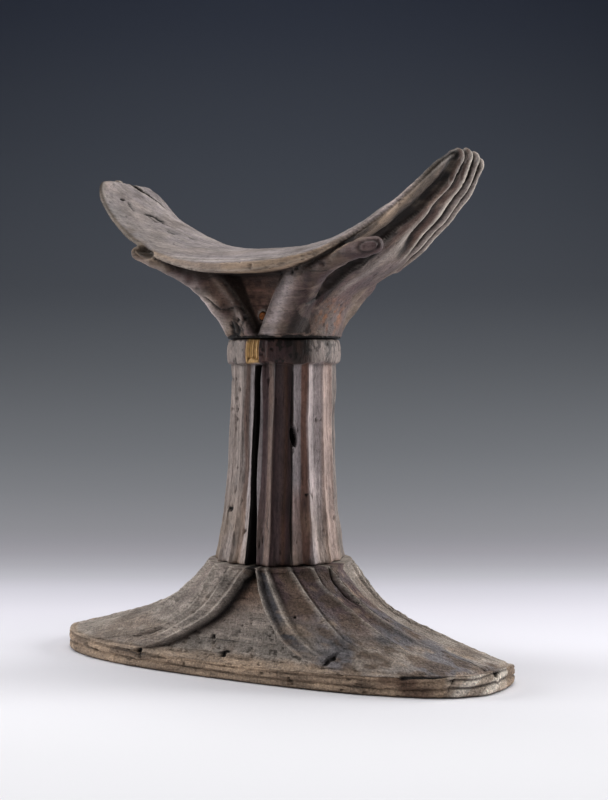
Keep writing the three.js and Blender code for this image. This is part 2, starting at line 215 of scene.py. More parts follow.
def make_mesh(name, points, faces, body, replaces, colours):
    """A smooth-shaded piece from points in millimetres."""
    mesh = bpy.data.meshes.new(name)
    points = np.asarray(points, np.float32) * MM
    loops = np.concatenate([np.asarray(part, np.int32).ravel() for part in faces])
    counts = np.concatenate([np.full(len(part), np.shape(part)[1], np.int32) for part in faces])
    starts = np.concatenate([[0], np.cumsum(counts)[:-1]]).astype(np.int32)
    mesh.vertices.add(len(points))
    mesh.vertices.foreach_set("co", points.ravel())
    mesh.loops.add(len(loops))
    mesh.loops.foreach_set("vertex_index", loops)
    mesh.polygons.add(len(counts))
    mesh.polygons.foreach_set("loop_start", starts)
    mesh.polygons.foreach_set("loop_total", counts)
    mesh.update(calc_edges=True)
    mesh.validate()
    mesh.polygons.foreach_set("use_smooth", np.ones(len(mesh.polygons), bool))
    store_paint(mesh, colours)
    piece = bpy.data.objects.new(name, mesh)
    bpy.context.scene.collection.objects.link(piece)
    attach(piece, body)
    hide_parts(replaces)
    return piece


def grid_of(rows, columns):
    """Two values for each point of a grid of rings, one from its row and one from its column."""
    return [part.ravel() for part in np.meshgrid(rows, columns, indexing="ij")]


def ring_faces(rows, columns):
    """Quads between rings of points, and a fan over the first and the last ring, whose hubs come last."""
    row, column = np.meshgrid(np.arange(rows - 1), np.arange(columns), indexing="ij")
    a = (row * columns + column).ravel()
    b = (row * columns + (column + 1) % columns).ravel()
    quads = np.stack([a, b, b + columns, a + columns], axis=1)
    spin = np.arange(columns)
    first_hub = rows * columns
    start = np.stack([np.full(columns, first_hub), (spin + 1) % columns, spin], axis=1)
    last = (rows - 1) * columns
    end = np.stack([np.full(columns, first_hub + 1), last + spin, last + (spin + 1) % columns], axis=1)
    return quads, np.concatenate([start, end])


def normals_of(points, rows, columns):
    """Unit normals of a grid of rings, pointing out."""
    grid = points.reshape(rows, columns, 3)
    down = np.gradient(grid, axis=0)
    around = np.roll(grid, -1, axis=1) - np.roll(grid, 1, axis=1)
    normal = np.cross(down, around)
    length = np.linalg.norm(normal, axis=2, keepdims=True)
    return (normal / np.maximum(length, 1e-9)).reshape(-1, 3)


# Colours, as linear red, green and blue

def colour(red, green, blue):
    return (np.array([red, green, blue]) / 255.0) ** 2.2


PALE = colour(158, 148, 139)
BONE = colour(186, 176, 164)
LILAC = colour(150, 140, 140)
ROSE = colour(170, 148, 139)
BRIGHT = colour(200, 184, 182)
WORN = colour(120, 100, 92)
BEIGE = colour(142, 126, 112)
TAN = colour(146, 126, 107)
GREY_WOOD = colour(134, 125, 117)
STONE = colour(134, 122, 116)
SLATE = colour(92, 90, 94)
EARTH = colour(98, 82, 70)
PLUM = colour(82, 66, 66)
DARK_PLUM = colour(60, 44, 44)
UMBER = colour(76, 54, 44)
RUSSET = colour(108, 80, 70)
OCHRE = colour(176, 140, 92)
RUST = colour(148, 92, 54)
DARK = colour(40, 32, 29)
BLACK = colour(0, 0, 0)


def tint(base, other, share):
    return mix(base, other, np.clip(share, 0, 1)[:, None])


def coats(base, rows):
    """A colour with coats laid over it one after another, from rows of colour and share."""
    for other, share in rows:
        base = tint(base, other, share)
    return base


def toned(base, factor):
    """A colour made lighter or darker by a factor at each point."""
    return base * factor[:, None]


# The foot. t runs from 0 at the seam to 1 at the rim, and phi runs round from the front.
# The lines of its carving are given as t values and the degrees from the front at each.

RIGHT_EDGE = (
    (0, 0.02, 0.19, 0.36, 0.49, 0.63, 0.76, 0.86, 0.91, 1),
    (11, 10.2, 9, 9.5, 10.5, 11.5, 13.5, 16.2, 19, 24),
)
LEFT_EDGE = (
    (0, 0.1, 0.23, 0.36, 0.5, 0.61, 0.72, 0.83, 0.93, 1),
    (-1.5, 2, 4.2, 6.2, 8.8, 12, 14.8, 17.2, 20, 23),
)
RIGHT_RIDGES = (
    ((0.02, 0.14, 0.44, 0.59, 0.72, 0.81, 1), (18.8, 17.5, 16.8, 17.8, 19.5, 21.5, 29)),
    ((0.03, 0.22, 0.45, 0.57, 0.69, 0.76, 1), (37.2, 35.8, 34.8, 34.5, 37.5, 42.2, 52)),
    ((0.02, 0.09, 0.18, 0.26, 0.38, 0.55, 0.73, 1), (54.8, 53, 54.8, 57.5, 59.5, 58.2, 58.8, 66)),
    ((0, 1), (69.8, 80)),
)
LEFT_RIDGES = (
    ((0.06, 0.18, 0.33, 0.49, 0.75, 1), (12.2, 11.8, 12, 14.3, 20, 28)),
    ((0.01, 0.14, 0.29, 0.45, 0.58, 0.7, 0.82, 1), (31.5, 25, 20, 19.5, 21.8, 26.3, 30.5, 40)),
    ((0, 0.3, 0.6, 1), (50, 43, 44, 60)),
    ((0, 1), (69.8, 80)),
)
FOOT_CRACKS = (
    (((28.8, -10.2, 42.1), (32.3, -12, 37.9), (35.9, -12.6, 34.5),
      (39.6, -12.1, 31.7)), 0.95, 1.2, (1.0, 0.6)),
    (((39.6, -12.1, 31.7), (43.3, -10.6, 29.3), (50, -8, 26), (58, -4.5, 22)), 0.8, 0.9, (1.0, 0.0)),
    (((-70.1, -30.5, 8.3), (-56.4, -32, 11), (-45.1, -33.4, 12.8), (-39, -33.5, 14.7),
      (-32.5, -33.6, 16.8)), 0.7, 0.6, (0.6, 0.2)),
    (((34.9, -28.3, 24.7), (40.8, -24, 25.3), (44.8, -19.6, 25.4)), 0.6, 0.6, (0.5, 0.9)),
    (((68.1, -31.8, 7.6), (75.1, -29.8, 7.5), (81.4, -27.2, 7.6),
      (87.7, -22.8, 8.1)), 1.5, 1.2, (0.3, 0.5)),
    (((82.0, -7.5, 12.5), (88.7, -9.3, 10.4), (95.0, -10.6, 8.7), (98.6, -8.2, 8.3)), 1.2, 1.3, (0.3, 1.0)),
    (((72.5, -20.5, 12.9), (80.1, -23.4, 9.8), (84.7, -25.2, 7.8)), 0.5, 0.4, (0.2, 0.8)),
    (((40, -36, 9), (44, -33.5, 12.5), (46, -32, 13.5)), 1.3, 1.1, (0.4, 0.8)),
)
FOOT_PITS = (
    ((-3.8, -37.8, 9.6), 1.6, 1.5), ((-2.2, -37.3, 10.8), 1.1, 1.2), ((-10.1, -35.9, 15.8), 1.3, 1.1),
    ((-44, -36.9, 6.7), 1.6, 1.2), ((43.3, -34.2, 12.1), 1.3, 1.2), ((25, -31.1, 25.6), 0.9, 0.9),
)
RIM_CRACKS = (
    (((98.6, -8.4, 8.3), (99.6, -9.5, 5.5), (99.4, -8.6, 2.6)), 2.0, 2.0, (1.0, 0.6)),
    (((88.5, -22.9, 7.8), (86.6, -24.2, 4), (85.3, -25.1, 1)), 1.0, 1.0, (0.8, 0.5)),
    (((-44, -37.5, 5.6), (-42, -37.8, 3.6)), 1.8, 1.2, (0.8, 0.2)),
)
RIM_GROOVES = ((0.84, 0.55), (0.46, 0.75))
RIM_LEVELS = np.append(np.linspace(0.98, 0.03, 26), 0)
# the line cut along the rim, by its distance from it
BORDER_LINE = 2.4
FOOT_COLUMNS = 640
FOOT_STEPS = 116
SEAM_STEPS = (0, 0.003, 0.008, 0.015)
UNDERSIDE_RINGS = (0.985, 0.9, 0.6, 0.3)
UNDERSIDE = EARTH * 0.7
# cracks in the top are followed mostly in plan, so height counts for little
FLATTEN = np.array([1, 1, 0.2])


def rim_outline(phi):
    exponent = 2 / FOOT_SQUARENESS
    return FOOT_HALF_LENGTH * power(np.sin(phi), exponent), -FOOT_HALF_WIDTH * power(np.cos(phi), exponent)


def turn_of(phi):
    """Degrees from the front, from -180 to 180."""
    return np.degrees(np.arctan2(np.sin(phi), np.cos(phi)))


def rim_height(phi):
    return mix(SIDE_RIM, TIP_RIM, np.sin(phi) ** 2)


def skin_length(phi):
    """About how far it is from the seam to the rim, in millimetres."""
    return mix(SIDE_LENGTH, TIP_LENGTH, np.sin(phi) ** 2)


def foot_skin(t, phi):
    rest = 1 - t
    side = 0.8 * rest + 0.2 * rest ** 2
    full_wing = 0.43 * rest + 0.57 * rest ** 3.1
    hollow_wing = 0.58 * rest + 0.42 * rest ** 7
    turn = turn_of(phi)
    wing = mix(full_wing, hollow_wing, np.maximum(smooth(-turn, 45, 62), smooth(turn, 82, 100)))
    rim_x, rim_y = rim_outline(phi)
    low = rim_height(phi)
    x = mix(SEAM_X + SEAM_RADIUS * np.sin(phi), rim_x, t)
    y = mix(-SEAM_RADIUS * np.cos(phi), rim_y, t)
    z = low + (FOOT_TOP - low) * mix(side, wing, np.sin(phi) ** 2)
    z -= BACK_DROP * smooth(y, 0, 20) * smooth(x, 15, 45) * smooth(t, 0, 0.25)
    return np.stack([x, y, z], axis=-1)


def line_at(line, t):
    return np.interp(t, *line)


def foot_lanes(t, phi, points):
    """Where each point lies among the carved lines, and how far it is from the field's left edge."""
    degrees = turn_of(phi)
    back = np.abs(degrees) > 90
    folded = np.where(back, 180 - np.abs(degrees), degrees)
    right = folded > 0
    far = np.abs(folded)
    per_degree = np.radians(np.hypot(points[:, 0], points[:, 1]))
    right_edge = line_at(RIGHT_EDGE, t)
    left_edge = np.where(back, right_edge, line_at(LEFT_EDGE, t))
    from_left = (folded + left_edge) * per_degree
    from_right = (right_edge - folded) * per_degree
    lines = [np.where(right, right_edge, left_edge)]
    lines += [np.where(right, line_at(a, t), line_at(b, t)) for a, b in zip(RIGHT_RIDGES, LEFT_RIDGES)]
    lines.append(180 - lines[-1])
    hollow, share_in_lane, lane, crest, crease = np.zeros((5, len(t)))
    for number, (low, high) in enumerate(zip(lines[:-1], lines[1:])):
        share = (far - low) / (high - low)
        within = (share > 0) & (share <= 1)
        width = (high - low) * per_degree
        rounded = np.sin(np.pi * np.clip(share, 0, 1)) ** 0.7
        hollow = np.where(within, rounded * np.minimum(1, width / 9), hollow)
        share_in_lane = np.where(within, share, share_in_lane)
        lane = np.where(within, number, lane)
        beyond = (far - low) * per_degree
        crest += bell(beyond, 0, 0.9) * (beyond > -3)
        crease += bell(beyond, 1.5, 0.7)
    return {
        "field": smooth(np.minimum(from_left, from_right), -0.2, 0.9),
        "from_left": np.where(back, from_right, from_left), "hollow": hollow, "lane": lane,
        "crest": np.clip(crest, 0, 1), "crease": np.clip(crease, 0, 1), "share": share_in_lane,
        "right": right & ~back, "left": ~right & ~back,
    }


def foot_relief(t, phi, lanes):
    """How deep the carving lies below the skin."""
    depth = (1.7 * lanes["hollow"] + 0.7 * lanes["crease"] - 0.5 * lanes["crest"]) * (1 - t) ** 0.6
    floor = 1.4 + 2.9 * np.exp(-np.maximum(lanes["from_left"], 0) / 5.5)
    floor = floor * (1 - 0.8 * smooth(t, 0.78, 0.97)) + 5 * fade(t, 0.0, 0.14)
    border = 0.5 * bell((1 - t) * skin_length(phi), BORDER_LINE, 0.7)
    return mix(depth, floor, lanes["field"]) + border


def spots(points, places, seed):
    """Round, ragged pits at given places: how deep they cut, from rows of place, radius and depth."""
    ragged = 1 + 0.45 * noise(points, 1.6, seed)
    total = np.zeros(len(points))
    for place, radius, depth in places:
        away = np.linalg.norm(points - place, axis=1) * ragged
        total = np.maximum(total, depth * fade(away, radius * 0.45, radius))
    return total


def cracks(points, rows, seed, wander=0.5):
    parts = [crack(points, line, width, depth, seed + 3 * number, wander, taper)
             for number, (line, width, depth, taper) in enumerate(rows)]
    return np.maximum.reduce(parts)


def make_foot():
    steps = np.concatenate([SEAM_STEPS, np.linspace(0.025, 1, FOOT_STEPS)])
    phi = foot_turns()
    t, turn = grid_of(steps, phi)
    skin = foot_skin(t, turn)
    normal = normals_of(skin, len(steps), FOOT_COLUMNS)
    lanes = foot_lanes(t, turn, skin)
    wear = 0.26 * layered(skin, 8.0, 11) + 0.14 * layered(skin, (18.0, 3.0, 3.0), 17)
    wear += 0.2 * np.abs(layered(skin, (11.0, 1.5, 1.5), 19, 2)) * (1 - lanes["field"])
    peck = pits(skin, 1.3, 0.55, 0.65, 23) * mix(0.1, 1.0, lanes["field"] * smooth(t, 0.25, 0.6))
    peck += pits(skin, (5.0, 1.3, 1.3), 0.2, 0.4, 27)
    flattened = [(np.array(line) * FLATTEN, *rest) for line, *rest in FOOT_CRACKS]
    damage = np.maximum(cracks(skin * FLATTEN, flattened, 31), spots(skin, FOOT_PITS, 37))
    depth = foot_relief(t, turn, lanes) + peck + damage + 0.9 * fade(t * skin_length(turn), 0.0, 1.0)
    top = skin - normal * ((depth - wear) * smooth(t, 0, SEAM_STEPS[-1]))[:, None]
    top[:, 2] = np.where(t == 0, FOOT_TOP, np.minimum(top[:, 2], FOOT_TOP))
    colours = foot_paint(t, turn, skin, lanes, smooth(damage, 0.15, 0.9), smooth(peck, 0.15, 0.7))
    grid = (len(steps), FOOT_COLUMNS, 3)
    rim, rim_colours = foot_rim(phi, top[-FOOT_COLUMNS:])
    under = np.array([rim[-1] * [share, share, 0] for share in UNDERSIDE_RINGS])
    under_colours = np.broadcast_to(UNDERSIDE, under.shape)
    hubs = np.array([[SEAM_X, 0, FOOT_TOP], [0, 0, 0]])
    points = np.concatenate([np.concatenate([top.reshape(grid), rim, under]).reshape(-1, 3), hubs])
    colours = np.concatenate([colours.reshape(grid), rim_colours, under_colours]).reshape(-1, 3)
    colours = np.concatenate([colours, [DARK, UNDERSIDE]])
    quads, fans = ring_faces(len(points) // FOOT_COLUMNS, FOOT_COLUMNS)
    faces = [quads[:, ::-1], fans[:, ::-1]]
    return make_mesh("carved_foot", points, faces, "root", "base", colours)


def foot_turns():
    """Angles round the foot, closer together on the long front side."""
    even = np.linspace(-np.pi, np.pi, FOOT_COLUMNS, endpoint=False)
    return even - 0.35 * np.sin(even)


def foot_paint(t, phi, points, lanes, cracked, pecked):
    x = points[:, 0]
    right, left, share, hollow = (lanes[label] for label in ("right", "left", "share", "hollow"))
    outside = 1 - lanes["field"]
    blotch = layered(points, 14.0, 51)
    mottle = layered(points, (9.0, 4.0, 4.0), 55)
    near_seam = fade(t, 0.2, 0.75)
    first_lane = (lanes["lane"] == 0) * right * fade(t, 0.6, 0.95)
    base = coats(GREY_WOOD, (
        (EARTH, smooth(blotch, -0.2, 0.9) * 0.5),
        (PALE, smooth(layered(points, (40.0, 2.2, 2.2), 53), 0.0, 0.9) * 0.5),
        (PLUM, right * outside * near_seam * smooth(hollow, 0.1, 0.7) * 0.95),
        (SLATE * 0.5, first_lane * smooth(share, 0.05, 0.2) * fade(share, 0.7, 0.95)),
        (EARTH, right * (lanes["lane"] == 1) * near_seam * smooth(share, 0.3, 0.6) * 0.7),
        (SLATE, right * smooth(x, 22, 45) * smooth(-blotch, -0.4, 0.3) * 0.85),
        (EARTH * 0.8, right * smooth(mottle, 0.0, 0.5) * 0.7),
        (TAN, right * smooth(-mottle, 0.3, 0.9) * 0.5),
        (PLUM, left * near_seam * smooth(hollow, 0.4, 1.0) * 0.35),
        # painted shade in the creases beside the ridges
        (DARK, lanes["crease"] * (1 - t) * outside * mix(0.25, 0.8, right)),
        # painted highlight along the ridge crests
        (PALE, lanes["crest"] * (1 - t) * 0.5),
    ))
    from_left = np.maximum(lanes["from_left"], 0)
    field = coats(GREY_WOOD, (
        (EARTH, fade(t, 0.2, 0.5)),
        (PALE, smooth(layered(points, 7.0, 57), 0.0, 0.9) * 0.3 * smooth(t, 0.3, 0.5)),
        (EARTH, smooth(noise(points, 3.0, 58), -0.2, 0.6) * smooth(t, 0.6, 0.9) * 0.6),
        # painted shade spreading from the field's left edge
        (UMBER, np.exp(-from_left / 6.0) * fade(t, 0.5, 0.9) * 0.8),
    ))
    field = coats(toned(field, mix(1.0, 0.8, smooth(t, 0.4, 0.7))), (
        # painted shadow along the field's left wall, and painted shade in the deep top of the field under the
        # slot
        (DARK * 0.5, fade(from_left, 1.2, 3.4) * (1 - 0.7 * smooth(t, 0.5, 0.9))),
        (DARK * 0.3, fade(from_left, 2.0, 5.0) * fade(t, 0.12, 0.3)),
        (DARK * 0.4, fade(t, 0.02, 0.12)),
    ))
    from_rim = (1 - t) * skin_length(phi)
    border = fade(from_rim + 1.2 * noise(points, 5.0, 59), 1.5, 4.5)
    golden = fade(from_rim, 2, 5.5) * bell(x, 10, 35)
    base = coats(base, (
        (field, lanes["field"]),
        (TAN, border * 0.6 * (1 - 0.6 * smooth(x, 45, 60))),
        (TAN, golden * smooth(noise(points, 4.0, 62), -0.5, 0.5) * 0.5),
        # painted shade in patches along the line cut near the rim
        (DARK, bell(from_rim, BORDER_LINE, 0.5) * smooth(noise(points, 6.0, 63), -0.4, 0.5) * 0.6),
    ))
    # painted lighter overall; the extra lightness towards the right end is painted light from the right
    base = toned(base, 1.34 * mix(1.0, 1.18, smooth(x, 55, 85)))
    # painted shade in the pits and cracks
    return coats(base, ((DARK, pecked * 0.5), (DARK * 0.35, cracked)))


def foot_rim(phi, edge):
    """The bands of the rim, as rings from the skin's edge down to the ground, and their colours."""
    x, y = rim_outline(phi)
    outward = np.stack([np.sign(x) * np.abs(np.sin(phi)) ** 1.2, -np.cos(phi)], axis=-1)
    outward /= np.linalg.norm(outward, axis=1, keepdims=True)
    front = y < 0
    burnt = smooth(x, 50, 62) * fade(x, 82, 87) * front
    # the polished tip of the rim, which also gets a painted sheen
    polish_and_sheen = smooth(x, 84, 88) * front
    rows, colours = [], []
    for level in RIM_LEVELS:
        waver = level + 0.045 * np.sin(3.0 * phi) + 0.03 * np.sin(11.0 * phi + 1.0)
        place = np.stack([x, y, edge[:, 2] * level], axis=-1)
        grooves = sum(depth * bell(waver, middle, 0.06) for middle, depth in RIM_GROOVES)
        at_top, at_ground = max(0, level - 0.93) / 0.07, max(0, 0.12 - level) / 0.12
        rough = 0.3 * layered(place, (9.0, 7.0, 3.0), 61) - pits(place, (3.0, 2.0, 1.3), 0.35, 0.8, 67)
        strands = np.sin(np.hypot(x - 80, y) * 2.1 + level * 5.0)
        damage = cracks(place, RIM_CRACKS, 71)
        bulge = 0.35 - grooves - 0.9 * at_top - 0.7 * at_ground
        bulge = bulge + rough * (1 - 0.7 * polish_and_sheen) + 0.35 * polish_and_sheen * strands - damage
        place[:, :2] += outward * bulge[:, None]
        # where the rim's grooves get painted shade: in patches, and all along the polished tip
        groove_shade = np.maximum(smooth(noise(place, (9.0, 9.0, 2.0), 83), -0.5, 0.6), polish_and_sheen)
        rows.append(place)
        colours.append(coats(TAN * 1.25, (
            (EARTH, smooth(layered(place, (14.0, 9.0, 3.0), 73), -0.3, 0.8) * 0.7),
            (UMBER, burnt * smooth(noise(place, 6.0, 79), -0.6, 0.5) * 0.8),
            # painted sheen on the polished tip, brightest on the strands
            (BONE * 1.4, polish_and_sheen * mix(0.35, 0.95, smooth(strands, -0.5, 0.6))),
            # painted shade in the grooves, in the dips and pits, and in the cracks
            (DARK, np.minimum(grooves * (1 + 0.5 * polish_and_sheen), 0.8) * groove_shade),
            (DARK, smooth(-rough, 0.35, 0.8) * 0.7),
            (DARK * 0.4, smooth(damage, 0.2, 0.9)),
            # painted contact shadow along the bottom of the rim
            (DARK, np.full(len(place), 0.8 * at_ground)),
        )))
    rows = np.array(rows)
    rows[-1, :, 2] = 0
    return rows, np.array(colours)


# The column. Angle 0 is the front and grows towards +X.

# the slot's edges as degrees from the front at some heights, and its share of the mesh's way round
SLOT_HEIGHTS = (42.8, 46.6, 52.8, 60.6, 68.4, 76.2, 84.1, 92.1, 100, 108, 115.8, 122)
SLOT_LEFT = (-2.4, -2.6, -3.0, -4.0, -4.6, -5.9, -6.5, -6.2, -5.7, -5.0, -5.2, -4.7)
SLOT_RIGHT = (7.8, 7.4, 5.8, 5.1, 3.7, 2.6, 2.5, 3.8, 4.2, 4.3, 4.2, 5.4)
SLOT_SHARE = 0.06
SLOT_DEPTH = 12.0
SLOT_END = (121.2, 122.2)
# the long crack's degrees from the front, and the hole that lies on it
CRACK_TURN = 42.5
HOLE_HEIGHT = 93.4
HOLE_DEPTH = 7.0
# small dots in the shaft: degrees from the front, height, radius and depth
COLUMN_DOTS = ((-31, 80.5, 0.9, 0.7), (-36, 64, 1.2, 0.9), (57, 70.5, 1.0, 0.7))
SHAFT_COLUMNS = 540
SHAFT_RINGS = 126
COLLAR_RINGS = 38


def shaft_radius(z):
    share = np.clip((COLLAR_BOTTOM - z) / (COLLAR_BOTTOM - SEAM_HEIGHT), 0, None)
    return SHAFT_RADIUS + SHAFT_SPREAD * share ** 3.2


def column_x(z):
    return mix(SEAM_X, LEAN, (z - SEAM_HEIGHT) / (SHAFT_TOP - SEAM_HEIGHT))


def column_place(angle, radius, z, x=0.0):
    """The place at an angle and a radius from the column's middle line, which is at x."""
    return np.stack([np.sin(angle) * radius + x, -np.cos(angle) * radius, z], axis=-1)


def lane_colour(degrees, lanes):
    """The colour at each angle, blended between rows of angle and colour."""
    angles = [row[0] for row in lanes]
    return np.stack([np.interp(degrees, angles, [row[1][k] for row in lanes]) for k in range(3)], axis=-1)


def column_degrees(share, z):
    """Degrees from the front for shares from -1 to 1 of the way round, the slot taking up the middle ones."""
    left, right = np.interp(z, SLOT_HEIGHTS, SLOT_LEFT), np.interp(z, SLOT_HEIGHTS, SLOT_RIGHT)
    degrees = mix(left, right, (np.clip(share / SLOT_SHARE, -1, 1) + 1) / 2)
    beyond = np.maximum(np.abs(share) - SLOT_SHARE, 0) / (1 - SLOT_SHARE)
    spread = mix(0.62 * beyond, beyond ** 2.4, beyond ** 3)
    degrees = np.where(share > SLOT_SHARE, right + (180 - right) * spread, degrees)
    return np.where(share < -SLOT_SHARE, left - (180 + left) * spread, degrees)


def make_column():
    levels = np.concatenate([
        [SHAFT_BOTTOM, SHAFT_BOTTOM + 0.12],
        np.linspace(SHAFT_BOTTOM + 0.4, COLLAR_BOTTOM - 1.5, SHAFT_RINGS),
        np.linspace(COLLAR_BOTTOM - 1.1, SHAFT_TOP - 0.1, COLLAR_RINGS), [SHAFT_TOP],
    ])
    z, share = grid_of(levels, np.linspace(-1, 1, SHAFT_COLUMNS, endpoint=False))
    degrees = column_degrees(share, z)
    angle = np.radians(degrees)
    body = shaft_radius(z)
    around = column_place(angle, body, z)
    drift = 0.05 * noise(around, (9.0, 9.0, 40.0), 79)
    hollow = np.abs(np.sin(FLUTES * (angle + drift - RIDGE_TURN) / 2))
    grain = layered(around, (1.3, 1.3, 30.0), 91)
    flute = 1.75 * hollow ** 0.8 + 0.3 * (1 - hollow) * noise(around, (5.0, 5.0, 16.0), 81)
    edge_wave = 0.9 * noise(around, (5.0, 5.0, 9.0), 83) + 0.4 * noise(around, 2.0, 85)
    in_collar = smooth(z, COLLAR_BOTTOM - 0.4 + edge_wave, COLLAR_BOTTOM + 0.4 + edge_wave)
    rise = np.clip((z - COLLAR_BOTTOM) / (SHAFT_TOP - COLLAR_BOTTOM), 0, 1)
    collar = 21.9 + 1.3 * np.sin(np.pi * np.clip(rise * 0.84 + 0.13, 0, 1)) ** 0.7
    radius = mix(body - flute, collar, in_collar)
    radius += 0.2 * grain + 0.2 * layered(around, 9.0, 97, 2) + 0.05 * layered(around, 0.9, 99, 2)
    bites = pits(around, (1.6, 1.6, 4.0), 0.3, 0.6, 101)
    edges, ragged = seam_wear(around, z)
    cut, dark, raw = column_damage(degrees, z, share, around)
    radius -= bites + cut + edges
    radius = np.minimum(radius, COLLAR_LIMIT + SHAFT_SPREAD * (z < COLLAR_BOTTOM))
    points = column_place(angle, radius, z, column_x(z))
    colours = coats(column_paint(degrees, z, around, in_collar, grain, raw), (
        # painted shade in the pits, and in the slot, hole, crack, dots and seams
        (DARK, smooth(bites, 0.2, 0.6) * 0.6),
        (DARK * 0.3, np.maximum(dark, ragged)),
    ))
    points = np.concatenate([points, [[column_x(SHAFT_BOTTOM), 0, SHAFT_BOTTOM], [LEAN, 0, SHAFT_TOP]]])
    colours = np.concatenate([colours, [DARK * 0.3, DARK * 0.3]])
    faces = ring_faces(len(levels), SHAFT_COLUMNS)
    return make_mesh("fluted_column", points, faces, "root", "column", colours)


def seam_wear(around, z):
    """The crumbled edges at the two seams: how deep they are worn, and how dark the painted shade along them
    is.
    """
    torn = z + 0.35 * layered(around, 3.5, 86)
    upper = smooth(torn, SHAFT_TOP - 0.6, SHAFT_TOP + 0.1)
    worn = np.maximum(upper, fade(torn, SHAFT_BOTTOM, SHAFT_BOTTOM + 0.6))
    return 0.9 * worn, smooth(worn, 0.5, 0.95)


def column_damage(degrees, z, share, around):
    """How deep the slot, hole, crack, chip and dots cut, how dark the painted shade in them is, and where the
    wood is raw.
    """
    in_slot = np.abs(share) / SLOT_SHARE
    open_slot = fade(z, *SLOT_END)
    slot = SLOT_DEPTH * smooth(1 - in_slot, 0.0, 0.22) * open_slot
    arc, up = shaft_radius(z) * np.radians(degrees - CRACK_TURN), z - HOLE_HEIGHT
    ragged = 0.15 * noise(around, 1.8, 107)
    hole = HOLE_DEPTH * fade(np.hypot((arc + 0.12 * up) / 1.7, up / 3.6) + ragged, 0.8, 1.1)
    line = 0.7 * bell(arc + 1.0 + 0.3 * np.sin(z / 7), 0, 0.35) * fade(z, 118, 121)
    chip_share = (degrees + 2.6) / 7
    chip_end = COLLAR_BOTTOM + 1.6 + noise(around, (1.0, 1.0, 5.0), 105)
    raw = fade(np.abs(chip_share), 0.85, 1.0) * smooth(z, chip_end, chip_end + 1.0)
    chip = raw * (1.2 + 0.3 * np.sin(chip_share * 9))
    places = [(column_place(math.radians(turn), shaft_radius(height), height), radius, depth)
              for turn, height, radius, depth in COLUMN_DOTS]
    dots = spots(around, places, 109)
    # painted shade all through the open slot
    slot_shade = (in_slot < 0.999) * open_slot
    dark = (slot_shade, smooth(hole, 0.5, 3.0), smooth(line, 0.2, 0.7) * 0.8, smooth(dots, 0.2, 0.6))
    return np.maximum.reduce([slot, hole, line, chip, dots]), np.maximum.reduce(dark), raw


# the colours round the shaft and round the collar, by degrees from the front; the pale lanes on the shaft's
# right side, from 60 to 98 degrees, are partly painted light from the right
SHAFT_LANES = (
    (-17.5, STONE), (-16, WORN * 0.85), (-11.5, WORN * 0.85), (-10, LILAC), (5.2, LILAC), (6.5, PLUM),
    (13, PLUM), (15, WORN), (19, WORN), (21.5, DARK_PLUM), (28, PLUM), (33, UMBER), (36, DARK_PLUM),
    (41, DARK), (42.5, LILAC * 0.75), (49, LILAC * 0.75), (51.5, RUSSET), (57, RUSSET),
    (60, BRIGHT * 0.78), (76, BRIGHT * 0.78), (79, ROSE * 1.1), (98, ROSE * 1.1), (101, STONE),
)
COLLAR_LANES = (
    (-15, STONE), (-12, PLUM), (-10, OCHRE), (3.6, OCHRE), (5, DARK_PLUM), (34, DARK_PLUM), (40, DARK),
    (54, DARK), (62, STONE),
)


def column_paint(degrees, z, around, in_collar, grain, raw):
    upper = smooth(z + 5 * noise(around, 9.0, 115), 68, 80)
    drifted = degrees + 1.6 * noise(around, (3.0, 3.0, 20.0), 110)
    beside = smooth(drifted, 40, 43) * fade(drifted, 49, 52)
    shaft = coats(lane_colour(drifted, SHAFT_LANES), (
        (LILAC, beside * upper),
        (RUSSET, beside * (1 - upper) * 0.6),
    ))
    fine, wide = layered(around, (1.0, 1.0, 45.0), 111), layered(around, (4.5, 4.5, 70.0), 113)
    shaft = coats(toned(shaft, 1 + 0.22 * fine + 0.25 * wide), (
        (TAN, fade(z, 48, 78) * smooth(noise(around, (7.0, 7.0, 22.0), 117), -0.7, 0.4) * 0.6),
        (DARK_PLUM, bell(degrees, 55, 4) * bell(z, 67, 5) * 0.8),
    ))
    worst = smooth(degrees, 3, 10) * fade(degrees, 50, 62)
    flakes = layered(around, (1.6, 1.6, 2.2), 119) + 0.5 * smooth(z, 126, 132) + 0.2 * worst
    flakes = smooth(flakes, 0.55, 0.8)
    collar = coats(lane_colour(degrees, COLLAR_LANES), (
        (DARK * 0.5, flakes * mix(0.6, 0.95, worst) * (1 - raw)),
        (RUSSET * 0.6, worst * (1 - flakes) * smooth(noise(around, 4.0, 116), -0.2, 0.6) * 0.5),
    ))
    collar = toned(collar, 1 + raw * (0.35 * np.sin(degrees * 2.6) + 0.3 * grain))
    # a painted shadow under the collar's lower lip
    return coats(shaft, ((collar, in_collar), (DARK, bell(z, COLLAR_BOTTOM - 0.6, 0.7) * 0.45)))


# The neck support, about its own middle

def edge_height(x):
    even = EDGE_HEIGHT + RISE * (1 - np.sqrt(np.maximum(1 - (np.abs(x) / RISE_LENGTH) ** 2.5, 1e-6)))
    bulge = np.sin(np.pi * np.clip((x - 35) / (REST_END - 35), 0, 1))
    return even + RIGHT_LIFT * bulge - LEFT_DROP * smooth(-x, 50, REST_END)


def edge_slope(x):
    return (edge_height(x + 0.05) - edge_height(x - 0.05)) / 0.1


def half_width_at(x, y):
    """Half the width towards the front or, where y is positive, towards the back."""
    far = np.abs(x)
    corner = np.where(x > 0, np.maximum(far - 62, 0) / 19, np.maximum(far - 66, 0) / 16)
    narrowing = BACK_NARROWING * smooth(x, 15, 60) * (y > 0)
    half = REST_HALF_WIDTH - 10 * (far / 60) ** 2 - narrowing
    return half * np.sqrt(np.maximum(1 - corner ** 4, 0.0))


